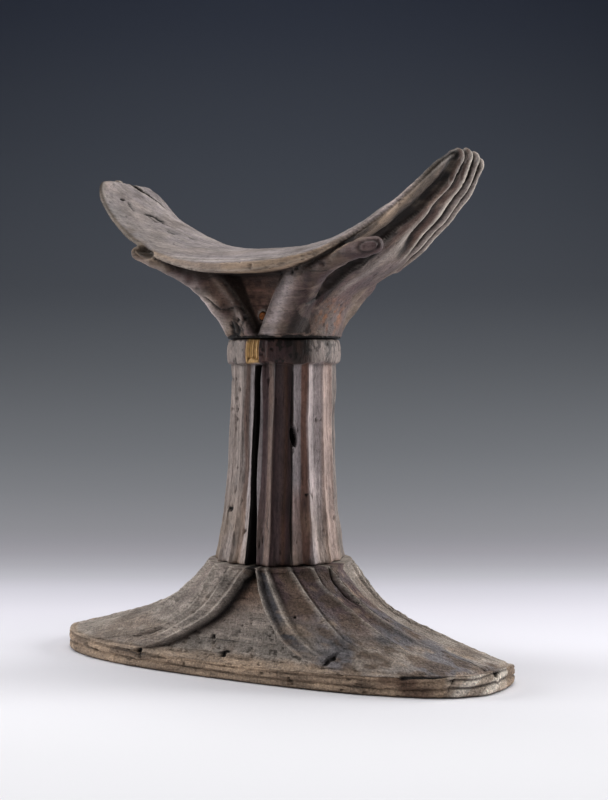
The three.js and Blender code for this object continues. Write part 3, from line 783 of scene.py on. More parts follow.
def wing_frame(x, z):
    """The nearest point of the front edge's curve, and the height above it."""
    foot = np.clip(x, -WING_LIMIT, WING_LIMIT)
    for _ in range(5):
        slope = edge_slope(foot)
        miss = (x - foot) + (z - edge_height(foot)) * slope
        foot = np.clip(foot + miss / (1 + slope ** 2) * 0.85, -WING_LIMIT, WING_LIMIT)
    slope = edge_slope(foot)
    above = ((z - edge_height(foot)) - (x - foot) * slope) / np.sqrt(1 + slope ** 2)
    return foot, above


LENGTH_TABLE = np.linspace(0, 88, 353)
LENGTH_STEPS = np.hypot(np.diff(LENGTH_TABLE), np.diff(edge_height(LENGTH_TABLE)))
LENGTHS = np.concatenate([[0], np.cumsum(LENGTH_STEPS)])


def arc_length(x):
    return np.sign(x) * np.interp(np.abs(x), LENGTH_TABLE, LENGTHS)


def crown_at(foot):
    """How far the top swells above the edges, which on the left wing lasts further out."""
    left = np.clip((-foot - 45) / 35.3, 0, 1) ** 2.5
    return CROWN * (1 - np.where(foot > 0, smooth(foot, 52, REST_END), left))


def slab(foot, above, y):
    half = half_width_at(foot, y)
    side = np.clip(y / np.maximum(half, 4), -1.1, 1.1)
    rim = mix(3.8, 2.2, smooth(np.abs(foot), 5, 45))
    keel = mix(3.2, rim, np.abs(np.clip(side, -1, 1)) ** 3)
    twist = 0.06 * np.maximum(y, 0) * smooth(-foot, 65, REST_END)
    top = above - crown_at(foot) * (1 - side ** 2) - twist
    under = -above - keel
    slope = half_width_at(foot + 0.5, y) - half_width_at(foot - 0.5, y)
    edge = (np.abs(y) - half) / np.sqrt(1 + np.clip(slope, -2, 2) ** 2)
    end = (np.abs(foot) - REST_END) * np.sqrt(1 + edge_slope(foot) ** 2)
    return smooth_max(smooth_max(smooth_max(top, under, 0.8), edge, 0.9), end, 1.8)


def curve(value, knots, heights):
    """A smooth curve through the given knots."""
    knots, heights = np.array(knots, float), np.array(heights, float)
    slopes = np.gradient(heights, knots)
    value = np.clip(value, knots[0], knots[-1])
    place = np.clip(np.searchsorted(knots, value) - 1, 0, len(knots) - 2)
    span = knots[place + 1] - knots[place]
    share = (value - knots[place]) / span
    rest = 1 - share
    start = heights[place] * (1 + 2 * share) * rest ** 2 + slopes[place] * span * share * rest ** 2
    end = heights[place + 1] * (3 - 2 * share) * share ** 2 - slopes[place + 1] * span * rest * share ** 2
    return start + end


NECK_LEVELS = (132.4, 136, 140, 144, 148, 152, 156, 160, 164, 168)
NECK_HALF_X = (23.4, 23.7, 24.4, 25.9, 29.2, 34, 40, 46.5, 51, 53)
NECK_HALF_Y = (23.4, 23.9, 24.4, 25.1, 26.1, 27.2, 28.2, 28.6, 28, 27)
NECK_SQUARENESS = (2, 2, 2.1, 2.2, 2.3, 2.4, 2.5, 2.6, 2.6, 2.6)


def neck(x, y, z, above):
    """The block between the column and the wings, with a recess in front and one behind."""
    half_x = curve(z, NECK_LEVELS, NECK_HALF_X)
    half_y = curve(z, NECK_LEVELS, NECK_HALF_Y)
    square = curve(z, NECK_LEVELS, NECK_SQUARENESS)
    reach = (np.abs(x / half_x) ** square + np.abs(y / half_y) ** square) ** (1 / square)
    body = smooth_max((reach - 1) * half_y * 0.85, above + 1.0, 1.0)
    for front in (-1, 1):
        toward = y * front
        out = (toward - RECESS_WALL) / 15
        half = mix((z - 135.6) * 0.4375, (z - 131) * 0.744, np.clip(out, -0.2, 1.2))
        hollow = smooth_max((np.abs(x - RECESS_X) - half) * 0.8, RECESS_WALL - toward, 1.0)
        body = smooth_max(body, -hollow, 2.8)
    return body


def chain(x, y, z, stations, blend=1.5):
    """A body that swells and narrows along a chain of (x, y, z, radius) stations."""
    parts = []
    for start, end in zip(stations[:-1], stations[1:]):
        start, end = np.array(start, float), np.array(end, float)
        step = end[:3] - start[:3]
        px, py, pz = x - start[0], y - start[1], z - start[2]
        share = np.clip((px * step[0] + py * step[1] + pz * step[2]) / (step @ step), 0, 1)
        px, py, pz = px - share * step[0], py - share * step[1], pz - share * step[2]
        parts.append(np.sqrt(px ** 2 + py ** 2 + pz ** 2) - mix(start[3], end[3], share))
    return joined(parts, blend)


FOREARM = [
    (8.5, -14.8, 131, 4.8), (11, -17.2, 137.2, 5.7), (16.3, -19.9, 146.7, 6.1),
    (23, -23, 155.9, 6.2), (27.2, -25.2, 162, 5.5),
]
THUMB = [
    (18, -20, 150, 5.2), (28.5, -27, 156.3, 4.5), (35, -29.6, 159.6, 3.7), (42, -31.2, 162.2, 3.3),
    (47, -32.1, 163.7, 3.15), (52.5, -32.8, 164.9, 3.5), (57.6, -33.1, 165.6, 3.15),
]
LEFT_THUMB = [
    (18, -20, 150.4, 4.6), (28, -26.6, 157.1, 3.8), (36, -29.6, 161.3, 3.2), (42.5, -31.2, 164.2, 3.2),
    (49.4, -32.3, 166.9, 2.9),
]
BACK_FEET = (20, 30, 37, 44, 50, 56, 66, 74, 79)
BACK_DEPTHS = (12, 10.8, 9.7, 8.6, 7.7, 6.9, 6.35, 6.1, 5.0)
FINGER_LENGTH = arc_length(80.2)
FINGER_SHORTER = (1.2, 0.0, 0.3, 1.8)
# how far below the edge the grooves beside the fingers lie
FINGER_GROOVE = 4.4
# the gaps between the tips of the fingers
GAP_MIDDLE = 76.3
GAP_HALF_WIDTH = 1.1
GAP_HALF_LENGTH = 2.6
# the lines between the fingers, as shares of the usual spacing, at places out along the wing
FINGER_FEET = (50, 58, 66, 80)
FINGER_LINES = (
    (-2, -2, -2, -1.95), (0, -0.4, -0.95, -1), (0.85, 0.8, 0.6, 0.2), (1.5, 1.45, 1.35, 1.15),
    (2.05, 2.05, 2.05, 2.0),
)
THUMB_HOLLOW = [
    (24.5, -17, 148.6, 0.8), (30, -17.5, 152.8, 2.9), (36, -19, 157.4, 3.9), (42, -19.5, 160.6, 4.2),
    (48, -19, 163.5, 3.0),
]
# the net's cell size, how many layers of cells are worked out at once, its box and the edges of a cell
REST_PITCH = 0.68
NET_BLOCK = 24
NET_LOW = (-WING_LIMIT, -41.5, REST_BOTTOM - 1.5)
NET_HIGH = (WING_LIMIT, 41.5, 206)
CELL_EDGES = [(a, b) for a in CORNERS for b in CORNERS
              if sum(b) == sum(a) + 1 and all(m <= n for m, n in zip(a, b))]


def finger_spacing(foot):
    return mix(9.2, 6.7, smooth(np.abs(foot), 50, 80))


def hand_back(foot):
    return curve(np.abs(foot), BACK_FEET, BACK_DEPTHS)


def finger_lines(foot):
    """Where the fingers meet, from the front of the first to the back of the last, in millimetres."""
    return [np.interp(np.abs(foot), FINGER_FEET, row) * finger_spacing(foot) for row in FINGER_LINES]


def hands(y, foot, above):
    """The backs of the hands and four fingers under each wing."""
    far = np.abs(foot)
    back = hand_back(foot)
    from_tip = arc_length(far) - FINGER_LENGTH
    lines = finger_lines(foot)
    fingers = []
    for start, end, shorter in zip(lines[:-1], lines[1:], FINGER_SHORTER):
        half = (end - start) * 0.53
        height = np.minimum(half, finger_spacing(foot) * 0.53)
        joint = 0.25 * np.cos((from_tip + 12.5 + shorter) * 0.42)
        across = (y - (start + end) / 2) / half
        up = (above + back + joint) / height - 1
        over = np.maximum(from_tip + shorter + height, 0) / height
        fingers.append((np.sqrt(across ** 2 + up ** 2 + over ** 2) - 1) * height)
    body = smooth_max(joined(fingers, 0.3), 38 - far, 2.0)
    pad_back = back + 0.35 - 4.2 * smooth(far, 43, 60)
    pad_half = mix(mix(9.5, 12.5, smooth(far, 20, 34)), 18, smooth(far, 50, 64))
    pad = smooth_max(-above - pad_back, np.abs(y) - pad_half, 3.5)
    pad = np.maximum(smooth_max(pad, 20 - far, 3.0), far - 72)
    return smooth_max(smooth_min(body, pad, 1.2), above + 0.8, 0.5)


# The wedge-shaped split in the top of the left wing
SPLIT_STATIONS = (-84, -77, -73.5, -70, -66)
SPLIT_MIDDLE = (1.5, 5.2, 8.8, 12.6, 14.5)
SPLIT_HALF = (2.6, 2.2, 1.5, 0.6, 0.05)


def beside_split(x, y):
    """How far a place is outside the split, seen from above."""
    return np.abs(y - curve(x, SPLIT_STATIONS, SPLIT_MIDDLE)) - curve(x, SPLIT_STATIONS, SPLIT_HALF)


def rest_field(x, y, z):
    """How far each place is outside the neck support, and below zero inside it."""
    foot, above = wing_frame(x, z)
    body = smooth_min(neck(x, y, z, above), hands(y, foot, above), 2.2)
    body = smooth_max(body, -chain(np.abs(x), y, z, THUMB_HOLLOW), 1.2)
    for side in (-1, 1):
        for front in (-1, 1):
            body = smooth_min(body, chain(x * side, -y * front, z, FOREARM), 2.6)
    for side, thumb in ((1, THUMB), (-1, LEFT_THUMB)):
        body = smooth_min(body, chain(x * side, y, z, thumb, 1.0), 1.6)
    body = smooth_min(body, slab(foot, above, y), 0.5)
    body = smooth_max(body, REST_BOTTOM - z, 0.5)
    lines = finger_lines(foot)
    groove = above + FINGER_GROOVE
    width = mix(-2.0, 2.5, smooth(np.abs(foot), 38, 50)) - 1.6 * smooth(np.abs(foot), 68, 78)
    body = smooth_max(body, width - np.hypot(y - lines[0] + 1.0, groove), 0.6)
    for line in lines[1:4]:
        gap = np.hypot((y - line) / GAP_HALF_WIDTH, (np.abs(foot) - GAP_MIDDLE) / GAP_HALF_LENGTH) - 1
        body = smooth_max(body, -np.maximum(gap, np.abs(groove) - GAP_HALF_LENGTH), 0.3)
    split = np.maximum(np.maximum(beside_split(x, y), x - SPLIT_STATIONS[-1]), -2.2 - above)
    hole = np.maximum(np.hypot(x - PEG_X, z - PEG_Z) - PEG_HOLE, y - PEG_HOLE_BACK)
    return np.maximum.reduce([body, -split, -np.maximum(hole, PEG_HOLE_FRONT - y)])


def surface_net(field, low, high, pitch):
    """The zero surface of a field as quads, one point in each grid cell that it crosses."""
    axes = [np.arange(a, b + pitch, pitch) for a, b in zip(low, high)]
    shape = tuple(len(axis) for axis in axes)
    values = np.empty(shape, np.float32)
    for start in range(0, shape[0], NET_BLOCK):
        block = slice(start, start + NET_BLOCK)
        grid = np.meshgrid(axes[0][block], axes[1], axes[2], indexing="ij")
        values[block] = field(*[part.ravel() for part in grid]).reshape(grid[0].shape)
    inside = values < 0
    cells = tuple(size - 1 for size in shape)
    count = np.zeros(cells, np.int8)
    for corner in CORNERS:
        count += inside[tuple(slice(first, first + size) for first, size in zip(corner, cells))]
    active = (count > 0) & (count < 8)
    ids = np.full(cells, -1, np.int64)
    where = np.argwhere(active)
    ids[active] = np.arange(len(where))
    total = np.zeros((len(where), 3))
    hits = np.zeros(len(where))
    for a, b in CELL_EDGES:
        va, vb = values[tuple((where + a).T)], values[tuple((where + b).T)]
        crosses = (va < 0) != (vb < 0)
        share = np.where(crosses, va / np.where(crosses, va - vb, 1), 0)
        place = np.array(a) + share[:, None] * (np.array(b) - np.array(a))
        total += np.where(crosses[:, None], place, 0)
        hits += crosses
    points = (where + total / hits[:, None]) * pitch + [axis[0] for axis in axes]
    quads = []
    for axis in range(3):
        span = [slice(1, size - 1) for size in shape]
        span[axis] = slice(0, shape[axis] - 1)
        ahead = list(span)
        ahead[axis] = slice(1, shape[axis])
        here, there = inside[tuple(span)], inside[tuple(ahead)]
        crossing = np.argwhere(here != there) + [part.start for part in span]
        forward = here[here != there]
        ring = []
        for du, dv in ((0, 0), (1, 0), (1, 1), (0, 1)):
            back = np.zeros(3, int)
            back[(axis + 1) % 3], back[(axis + 2) % 3] = du, dv
            ring.append(ids[tuple((crossing - back).T)])
        ring = np.stack(ring, axis=1)
        ring[~forward] = ring[~forward][:, ::-1]
        quads.append(ring)
    return points, np.concatenate(quads)


def field_normals(field, points, step=0.3):
    parts = []
    for axis in range(3):
        move = np.zeros(3)
        move[axis] = step
        parts.append(field(*(points + move).T) - field(*(points - move).T))
    normal = np.stack(parts, axis=1)
    return normal / np.maximum(np.linalg.norm(normal, axis=1, keepdims=True), 1e-9)


def on_rest(places):
    """Places moved onto the surface of the neck support."""
    places = np.array(places, float)
    for _ in range(4):
        places = places - field_normals(rest_field, places) * rest_field(*places.T)[:, None]
    return places


def walk(line, step=1.5):
    """The same chain of lines with a corner at least every step millimetres."""
    line = np.array(line, float)
    parts = [line[:1]]
    for start, end in zip(line[:-1], line[1:]):
        count = math.ceil(np.linalg.norm(end - start) / step)
        parts.append(start + (end - start) * (np.arange(1, count + 1) / count)[:, None])
    return np.concatenate(parts)


REST_CRACKS = (
    (((-59.9, -12.7, 185), (-58.7, -10.8, 184.7), (-56.9, -9.8, 183.9), (-54.4, -9.7, 182.5),
      (-51.2, -10.7, 180.6)), 1.7, 1.5, (0.6, 0.5)),
    (((-51.2, -10.7, 180.6), (-49.4, -10.4, 179.7), (-47.5, -9.4, 178.8),
      (-45.7, -8.4, 178)), 0.8, 0.6, (0.9, 0.2)),
    (((-58.4, -12.8, 184.1), (-55.9, -12.6, 182.7), (-53.6, -13.1, 181.3),
      (-52.4, -11.9, 180.9)), 0.9, 0.6, (0.4, 0.8)),
    (((-47.4, -15.4, 177.5), (-45.8, -15.7, 176.6), (-43.9, -15.5, 175.7),
      (-42.7, -15, 175.3)), 0.9, 0.6, (0.5, 0.5)),
    (((-68.3, -13.3, 190.4), (-66.1, -14.8, 188.5), (-63.2, -16.1, 186.1)), 0.8, 0.5, (0.8, 0.6)),
    (((-39.5, -11, 174.6), (-37.1, -10.8, 173.7), (-35.6, -9.4, 173.3)), 0.9, 0.6, (0.5, 0.5)),
    (((-70, 12.6, 192.4), (-66, 14.5, 189.3), (-61, 16, 185.5)), 0.8, 0.5, (1.0, 0.2)),
    (((-20.9, -26.7, 148.3), (-17.8, -26.3, 145.9), (-14.6, -25.5, 143.5)), 0.9, 0.6, (0.5, 0.8)),
    (((-14.6, -25.5, 143.5), (-10.7, -24.3, 143.9), (-8.3, -24.3, 144.6),
      (-5.3, -24, 143.8)), 0.9, 0.5, (0.6, 0.8)),
    (((-10.4, -22.5, 133), (-9.6, -23, 136), (-10.6, -23.4, 139.5)), 1.1, 0.6, (1.0, 0.4)),
    (((-8, -22.5, 132.8), (-7, -23, 135.5), (-8.2, -23.4, 138.8)), 1.0, 0.6, (1.0, 0.5)),
    (((-5.4, -22.8, 133.5), (-5.9, -23.4, 137), (-4.6, -23.8, 140)), 0.9, 0.5, (0.6, 0.4)),
    (((-9.6, -23, 136), (-8.6, -23.2, 137), (-7, -23.2, 136.6)), 0.9, 0.5, (0.8, 0.6)),
    (((22.6, -22.3, 145.2), (23.5, -19.1, 146.5), (24.7, -16.3, 148.1), (28.8, -18.3, 152.5),
      (31.7, -19.6, 155.4)), 1.0, 0.7, (0.4, 1.0)),
)
REST_PITS = (
    ((-70, -14.5, 191.3), 1.3, 1.0), ((-10.2, -23.6, 137.5), 1.1, 0.8), ((-7.4, -23.5, 139.5), 1.1, 0.8),
    ((-3.9, -24, 140.2), 1.2, 0.8), ((-9, -22.6, 133.6), 1.3, 1.0), ((-7.6, -21.8, 132.8), 1.3, 1.1),
    ((20.2, -28.9, 157.2), 1.0, 0.7), ((22.8, -29.5, 158.6), 1.0, 0.7), ((10.6, -20, 158), 1.2, 0.8),
)
# the thumbs' nails from the front: x, z, degrees of tilt, half length and half height
RIGHT_NAIL = (56.3, 165.1, 11, 3.9, 2.2)
LEFT_NAIL = (-44.7, 167, 22, 5, 2.7)
# the colours of each finger's flank, partly painted shade, and of its crest, painted light
FINGER_SHADE_AND_LIGHT = ((UMBER, PALE), (UMBER, BONE), (STONE, BONE * 1.2), (STONE, BONE * 1.1))
KNOT = (-7.2, -24.5, 144.6)
# each stain's colour, place and half size, the size and seed of its noise, and where that noise ends
STAINS = (
    (RUST, (24.6, -4, 141), (5, 7, 7), (1.2, 1.2, 3.5), 167, 0.4),
    (DARK * 0.4, (-7, -23.5, 137), (6, 7, 6), (1.0, 1.0, 4.5), 173, 0.2),
)
PEG_COLUMNS = 48


def make_rest():
    points, quads = surface_net(rest_field, NET_LOW, NET_HIGH, REST_PITCH)
    for _ in range(2):
        miss = np.clip(rest_field(*points.T), -0.4, 0.4)
        points = points - field_normals(rest_field, points) * miss[:, None]
    normal = field_normals(rest_field, points)
    foot, above = wing_frame(points[:, 0], points[:, 2])
    on_top = smooth(above, -0.4, 0.4)
    # how closed in each point is, at three reaches, and how sharply it turns outward: for painted shade in
    # hollows, painted highlights on edges and chipped edges
    cavity = [hollowness(points, normal, reach) for reach in (1.3, 4.0, 9.0)]
    edge = np.clip(1 + rest_field(*(points - normal * 1.3).T) / 1.3, 0, 1)
    cut, dark = rest_damage(points, foot, above)
    lift = mix(0.08, 0.14, on_top) * layered(points, (26.0, 1.3, 1.3), 121)
    lift += 0.22 * layered(points, 8.0, 127) + 0.06 * layered(points, 0.9, 131, 2)
    bites = pits(points, (2.6, 1.6, 1.6), 0.25, 0.5, 137) * mix(1, 0.5, on_top)
    worn = fade(points[:, 2] + 0.5 * layered(points, 3.5, 139), REST_BOTTOM + 0.2, REST_BOTTOM + 1.3)
    nail, rim_of_nail = nails(points, foot, above)
    lift += nail - bites - worn - cut - edge * 0.25 * np.abs(noise(points, 4.0, 149))
    flat = smooth(points[:, 2], REST_BOTTOM + 0.02, REST_BOTTOM + 0.2)
    points = points + normal * (lift * flat)[:, None]
    points[:, 2] = np.maximum(points[:, 2], REST_BOTTOM)
    colours = coats(rest_paint(points, normal, foot, above, cavity, edge), (
        # painted shade in the pits, the nails' outlines and the left nail's hollow, the cracks, the split,
        # the line under the rim and the worn bottom edge
        (DARK, smooth(bites, 0.15, 0.5) * 0.6),
        (DARK, rim_of_nail * 0.75),
        (DARK * 0.35, np.maximum(dark, smooth(worn, 0.35, 0.8))),
    ))
    return make_mesh("hand_rest", points + [REST_X, 0, 0], [quads], "root", "pillow", colours)


def hollowness(points, normal, reach):
    """How much of the space above each point, up to the given reach, is closed in: 0 in the open."""
    return np.clip(1 - rest_field(*(points + normal * reach).T) / reach, 0, 1)


def rest_damage(points, foot, above):
    """How deep the cracks, pits and the line under the rim cut, and how dark the painted shade in them and in
    the split is.
    """
    x, y, _ = points.T
    rows = [(on_rest(walk(line)), max(width * 1.3, 1.1), *rest) for line, width, *rest in REST_CRACKS]
    holes = [(on_rest([place])[0], radius, depth) for place, radius, depth in REST_PITS]
    cut = np.maximum(cracks(points, rows, 151, 0.35), spots(points, holes, 157))
    split = fade(beside_split(x, y), 0.0, 0.8) * (x < -69.5) * fade(above - crown_at(foot), -0.9, -0.2)
    line = bell(above, -1.25, 0.35) * smooth(foot, 15, 30) * fade(foot, 66, 74) * (y < -10)
    return cut + 0.4 * line, np.maximum.reduce([smooth(cut, 0.1, 0.5), split, 0.55 * line])


def nail_shape(u, v, half_length, half_height):
    """The outline of a nail and its face, from places along and across the finger."""
    reach = np.hypot(u / half_length, v / half_height)
    return bell(reach, 1, 0.17), fade(reach, 0.75, 1.0)


def turned(u, v, degrees):
    """Places along and across a line that rises by the given degrees."""
    tilt = math.radians(degrees)
    return u * math.cos(tilt) + v * math.sin(tilt), v * math.cos(tilt) - u * math.sin(tilt)


def nails(points, foot, above):
    """How far the nails stand out or sink in, and where their outlines are."""
    x, y, z = points.T
    front = smooth(-y, 31.5, 33)
    right, left = RIGHT_NAIL, LEFT_NAIL
    outline, face = nail_shape(*turned(x - right[0], z - right[1], right[2]), *right[3:])
    u, v = turned(left[0] - x, z - left[1], left[2])
    sunk = fade(np.hypot(u / left[3], v / left[4]), 0.6, 1.05) * smooth(-y, 30, 31.5)
    lift = front * (0.12 * face - 0.5 * outline) - 1.9 * sunk
    outlines = np.maximum(front * outline, smooth(sunk, 0.2, 0.7))
    from_tip = arc_length(np.abs(foot)) - FINGER_LENGTH
    behind = smooth(-above, 2.5, 4.0)
    lines = finger_lines(foot)
    for start, end, shorter in zip(lines[:-1], lines[1:], FINGER_SHORTER):
        middle = (start + end) / 2 - 0.6
        outline, face = nail_shape(from_tip + shorter + 7.0, y - middle, 4.6, 1.9)
        lift += behind * (0.1 * face - 0.35 * outline)
        outlines = np.maximum(outlines, behind * outline * 0.6)
    return lift, outlines


def wing_coats(points, foot, above, wing):
    """Coats for the undersides of the wings: the fingers in painted light and shade, the painted shadows
    beside them and under the thumb, and the right palm, partly in painted shade.
    """
    x, y, _ = points.T
    far = np.abs(foot)
    lines = finger_lines(foot)
    beyond = y - lines[0]
    fingers = smooth(far, 43, 52) * (beyond > 0)
    rows = [(STONE, smooth(far, 30, 45) * (above < -2) * smooth(y, -24, -20) * 0.5)]
    for start, end, (flank, crest) in zip(lines[:-1], lines[1:], FINGER_SHADE_AND_LIGHT):
        share = (y - start) / (end - start)
        # painted light on the crest and painted shade in the valleys between the fingers
        tone = coats(flank, (
            (crest, smooth(share, 0.3, 0.62)),
            (DARK * 0.4, np.maximum(fade(share, 0.06, 0.26), smooth(share, 0.84, 0.95))),
        ))
        rows.append((tone, fingers * (share > 0) * (share <= 1) * 0.85))
    under = smooth(above, -4.5, -2.6) * wing * (y < -12)
    narrow = 1 - 0.4 * smooth(foot, 62, 78)
    beside_index = smooth(beyond, -5.5 * narrow, -3.0 * narrow) * fade(beyond, 0.8 * narrow, 2.6 * narrow)
    beside_index = beside_index * (x > 0) * smooth(foot, 34, 44)
    from_thumb, _ = line_distance(points, [row[:3] for row in THUMB_HOLLOW])
    palm = (x > 0) * smooth(foot, 24, 32) * fade(foot, 46, 54) * (above < -5)
    return rows + [
        # painted shade under the wing, beside the index finger, under the thumb and over the palm
        (TAN * 0.25, under * fade(beyond, -4, -2) * 0.9),
        (DARK * 0.25, beside_index * smooth(above, -12, -8) * (above < -1) * 0.97),
        (DARK * 0.25, (x > 0) * fade(from_thumb, 3.8, 6.0)),
        (BLACK, palm * 0.15),
        (PALE, palm * bell(y, -9.5, 2.2) * 0.45),
    ]


def front_coats(points, facing, above, wing):
    """Coats for the arms and for the rim of the top, from how far each point faces to the right: painted
    light and shade on the arms, and a painted highlight along the right wing's rim.
    """
    x, y, z = points.T
    arm = (x > 0) * fade(z, 156, 163) * smooth(-y, 5, 14) * smooth(x, 2, 4)
    left_arm = (x < -6) * (y < -8) * fade(z, 160, 168) * smooth(z, 133, 138)
    from_hollow = x - 1.0 - 0.62 * (z - 129)
    lit = toned(BRIGHT * 0.6, mix(1.0, 0.7, smooth(z, 146, 153)))
    rim = smooth(above, -4.6, -3.6) * fade(above, -0.5, 0.4) * smooth(-y, 22, 28)
    return [
        # painted light along the right arm's crest beside the recess, and painted shade across the arm beyond
        # it
        (lit, arm * bell(from_hollow, 1.5, 3.6) * 0.9),
        (DARK_PLUM * 0.8, arm * bell(from_hollow, 11.0, 3.6) * 0.9),
        (TAN * 1.4, rim * mix(0.8, 0.15, wing * (x < 0))),
        # painted highlight along the top of the right wing's rim
        (BRIGHT, rim * wing * (x > 0) * smooth(above, -2.2, -1.2) * 0.85),
        # painted light on the left arm's side facing left, and painted shade on its side facing right
        (STONE, left_arm * smooth(-facing, -0.3, 0.3) * 0.7),
        (BRIGHT, left_arm * smooth(-facing, 0.25, 0.8) * 0.85),
        (UMBER * 0.8, left_arm * smooth(facing, -0.1, 0.4) * 0.7),
    ]


def top_paint(points, foot, blotch, streak):
    x, y, _ = points.T
    top = coats(LILAC, (
        (PALE, smooth(streak, -0.8, 1.0) * 0.5),
        (STONE, smooth(blotch, 0.1, 0.9) * 0.6),
    ))
    stained = smooth(noise(points, (7.0, 3.0, 5.0), 153), 0.1, 0.8) * smooth(-x, 35, 50)
    # painted light: the top is paler in the middle, darker at the sides and darkest on the right
    return coats(toned(top, mix(mix(0.82, 0.7, smooth(x, -20, 20)), 0.92, bell(x, -6, 22))), (
        (TAN, smooth(-x, 72, 80) * smooth(-y, 8, 20) * 0.6),
        (EARTH, stained * fade(half_width_at(foot, y) + y, 1.0, 7.0) * 0.8),
    ))


def stain_coats(points):
    """Coats for the knot and the stains."""
    knot = np.linalg.norm(points - KNOT, axis=1) * (1 + 0.5 * noise(points, 1.5, 163))
    rows = [(UMBER * 0.7, fade(knot, 1.0, 2.6) * 0.9)]
    for tone, place, size, grain, seed, limit in STAINS:
        cloud = bell(np.linalg.norm((points - place) / size, axis=1), 0, 1)
        rows.append((tone, cloud * smooth(layered(points, grain, seed), 0.0, limit) * 0.9))
    return rows


def rest_paint(points, normal, foot, above, cavity, edge):
    x, y, z = points.T
    near, middle, wide = cavity
    wing = smooth(np.abs(foot), 34, 52)
    low = fade(z, 138, 158)
    blotch = layered(points, 13.0, 141)
    streak = layered(points, (36.0, 2.4, 2.4), 143)
    in_recess = (y < -8) * (np.abs(x - RECESS_X) < RECESS_HALF_WIDTH) * (z > 134) * (above < -1.5)
    floor = in_recess * smooth(-normal[:, 1], 0.7, 0.9) * smooth(y, -21.8, -20.4)
    crumbs = smooth(layered(points, 1.6, 179), -0.3, 0.5)
    return coats(tint(PLUM, EARTH, smooth(blotch, -0.4, 0.7)) * 1.25, [
        (GREY_WOOD, low * smooth(np.abs(x), 12, 24) * mix(0.8, 0.3, x > 0)),
        (RUSSET, low * smooth(layered(points, 6.0, 147), 0.2, 0.9) * 0.4),
        *wing_coats(points, foot, above, wing),
        *front_coats(points, normal[:, 0], above, wing),
        (BEIGE, smooth(streak, 0.0, 0.9) * 0.3),
        (top_paint(points, foot, blotch, streak), smooth(above, -0.5, 0.5)),
        # painted shade on the recess wall that faces right
        (DARK, in_recess * smooth(normal[:, 0], 0.3, 0.6) * 0.9),
        (RUSSET * 0.9, floor * 0.8),
        (DARK, floor * crumbs * 0.5),
        # painted shade in hollows and crevices, from how closed in each point is
        (DARK * 0.6, smooth(near, 0.12, 0.5) * 0.85),
        (DARK, smooth(middle, 0.25, 0.7) * 0.7),
        (DARK, smooth(wide, 0.35, 0.8) * 0.5),
        # painted highlight on the convex edges, away from hollows
        (PALE, smooth(edge, 0.12, 0.5) * fade(near, 0.05, 0.3) * 0.65),
        *stain_coats(points),
    ])


def make_peg():
    radius = (PEG_HIGH[0] - PEG_LOW[0]) / 2
    centre = (PEG_LOW + PEG_HIGH) / 2
    rows = [(0.5, 0.0), (0.85, 0.12), (1.0, 0.5), (1.0, 3.0), (1.0, PEG_HIGH[1] - PEG_LOW[1])]
    spin = np.linspace(0, 2 * np.pi, PEG_COLUMNS, endpoint=False)
    share, depth = np.array(rows).T[:, :, None]
    wobble = radius * share * (1 + 0.03 * np.sin(3 * spin))
    y = np.broadcast_to(PEG_LOW[1] + depth, wobble.shape)
    rings = np.stack([centre[0] + wobble * np.cos(spin), y, centre[2] + wobble * np.sin(spin)], axis=-1)
    hubs = [[centre[0], end[1], centre[2]] for end in (PEG_LOW, PEG_HIGH)]
    points = np.concatenate([rings.reshape(-1, 3), hubs])
    paint = np.broadcast_to(RUST, points.shape)
    faces = ring_faces(len(rows), PEG_COLUMNS)
    return make_mesh("round_peg", points, faces, "root", "locking_peg", paint)


# Materials

# the sockets of a ramp, and the noise value at which every ramp starts
RAMP_SOCKETS = ("From Min", "From Max", "To Min", "To Max")
RAMP_START = 0.3
BUMP_DISTANCE = 0.0005


class Nodes:
    """A material's nodes, with short ways to make and join them."""

    def __init__(self, name):
        self.material = bpy.data.materials.new(name)
        self.material.use_nodes = True
        self.nodes = self.material.node_tree.nodes
        self.links = self.material.node_tree.links
        self.shader = self.nodes["Principled BSDF"]
        self.place = self.nodes.new("ShaderNodeTexCoord").outputs["Object"]

    def paint(self):
        node = self.nodes.new("ShaderNodeAttribute")
        node.attribute_name = "paint"
        return node.outputs["Color"]

    def noise(self, scale, detail, stretch):
        mapping = self.nodes.new("ShaderNodeMapping")
        mapping.inputs["Scale"].default_value = stretch
        texture = self.nodes.new("ShaderNodeTexNoise")
        for label, value in (("Scale", scale), ("Detail", detail), ("Roughness", 0.6)):
            texture.inputs[label].default_value = value
        self.links.new(self.place, mapping.inputs["Vector"])
        self.links.new(mapping.outputs["Vector"], texture.inputs["Vector"])
        return texture.outputs["Fac"]

    def ramp(self, source, high, dark, light):
        node = self.nodes.new("ShaderNodeMapRange")
        for label, value in zip(RAMP_SOCKETS, (RAMP_START, high, dark, light)):
            node.inputs[label].default_value = value
        self.links.new(source, node.inputs["Value"])
        return node.outputs["Result"]

    def math(self, kind, a, b):
        node = self.nodes.new("ShaderNodeMath")
        node.operation = kind
        for socket, value in zip(node.inputs, (a, b)):
            if isinstance(value, (int, float)):
                socket.default_value = value
            else:
                self.links.new(value, socket)
        return node.outputs["Value"]

    def with_ramps(self, kind, value, rows):
        """A value with one ramp after another multiplied or added to it."""
        for row in rows:
            value = self.math(kind, value, self.ramp(*row))
        return value

    def scaled(self, colour_socket, factor):
        node = self.nodes.new("ShaderNodeVectorMath")
        node.operation = "SCALE"
        self.links.new(colour_socket, node.inputs[0])
        self.links.new(factor, node.inputs["Scale"])
        return node.outputs["Vector"]


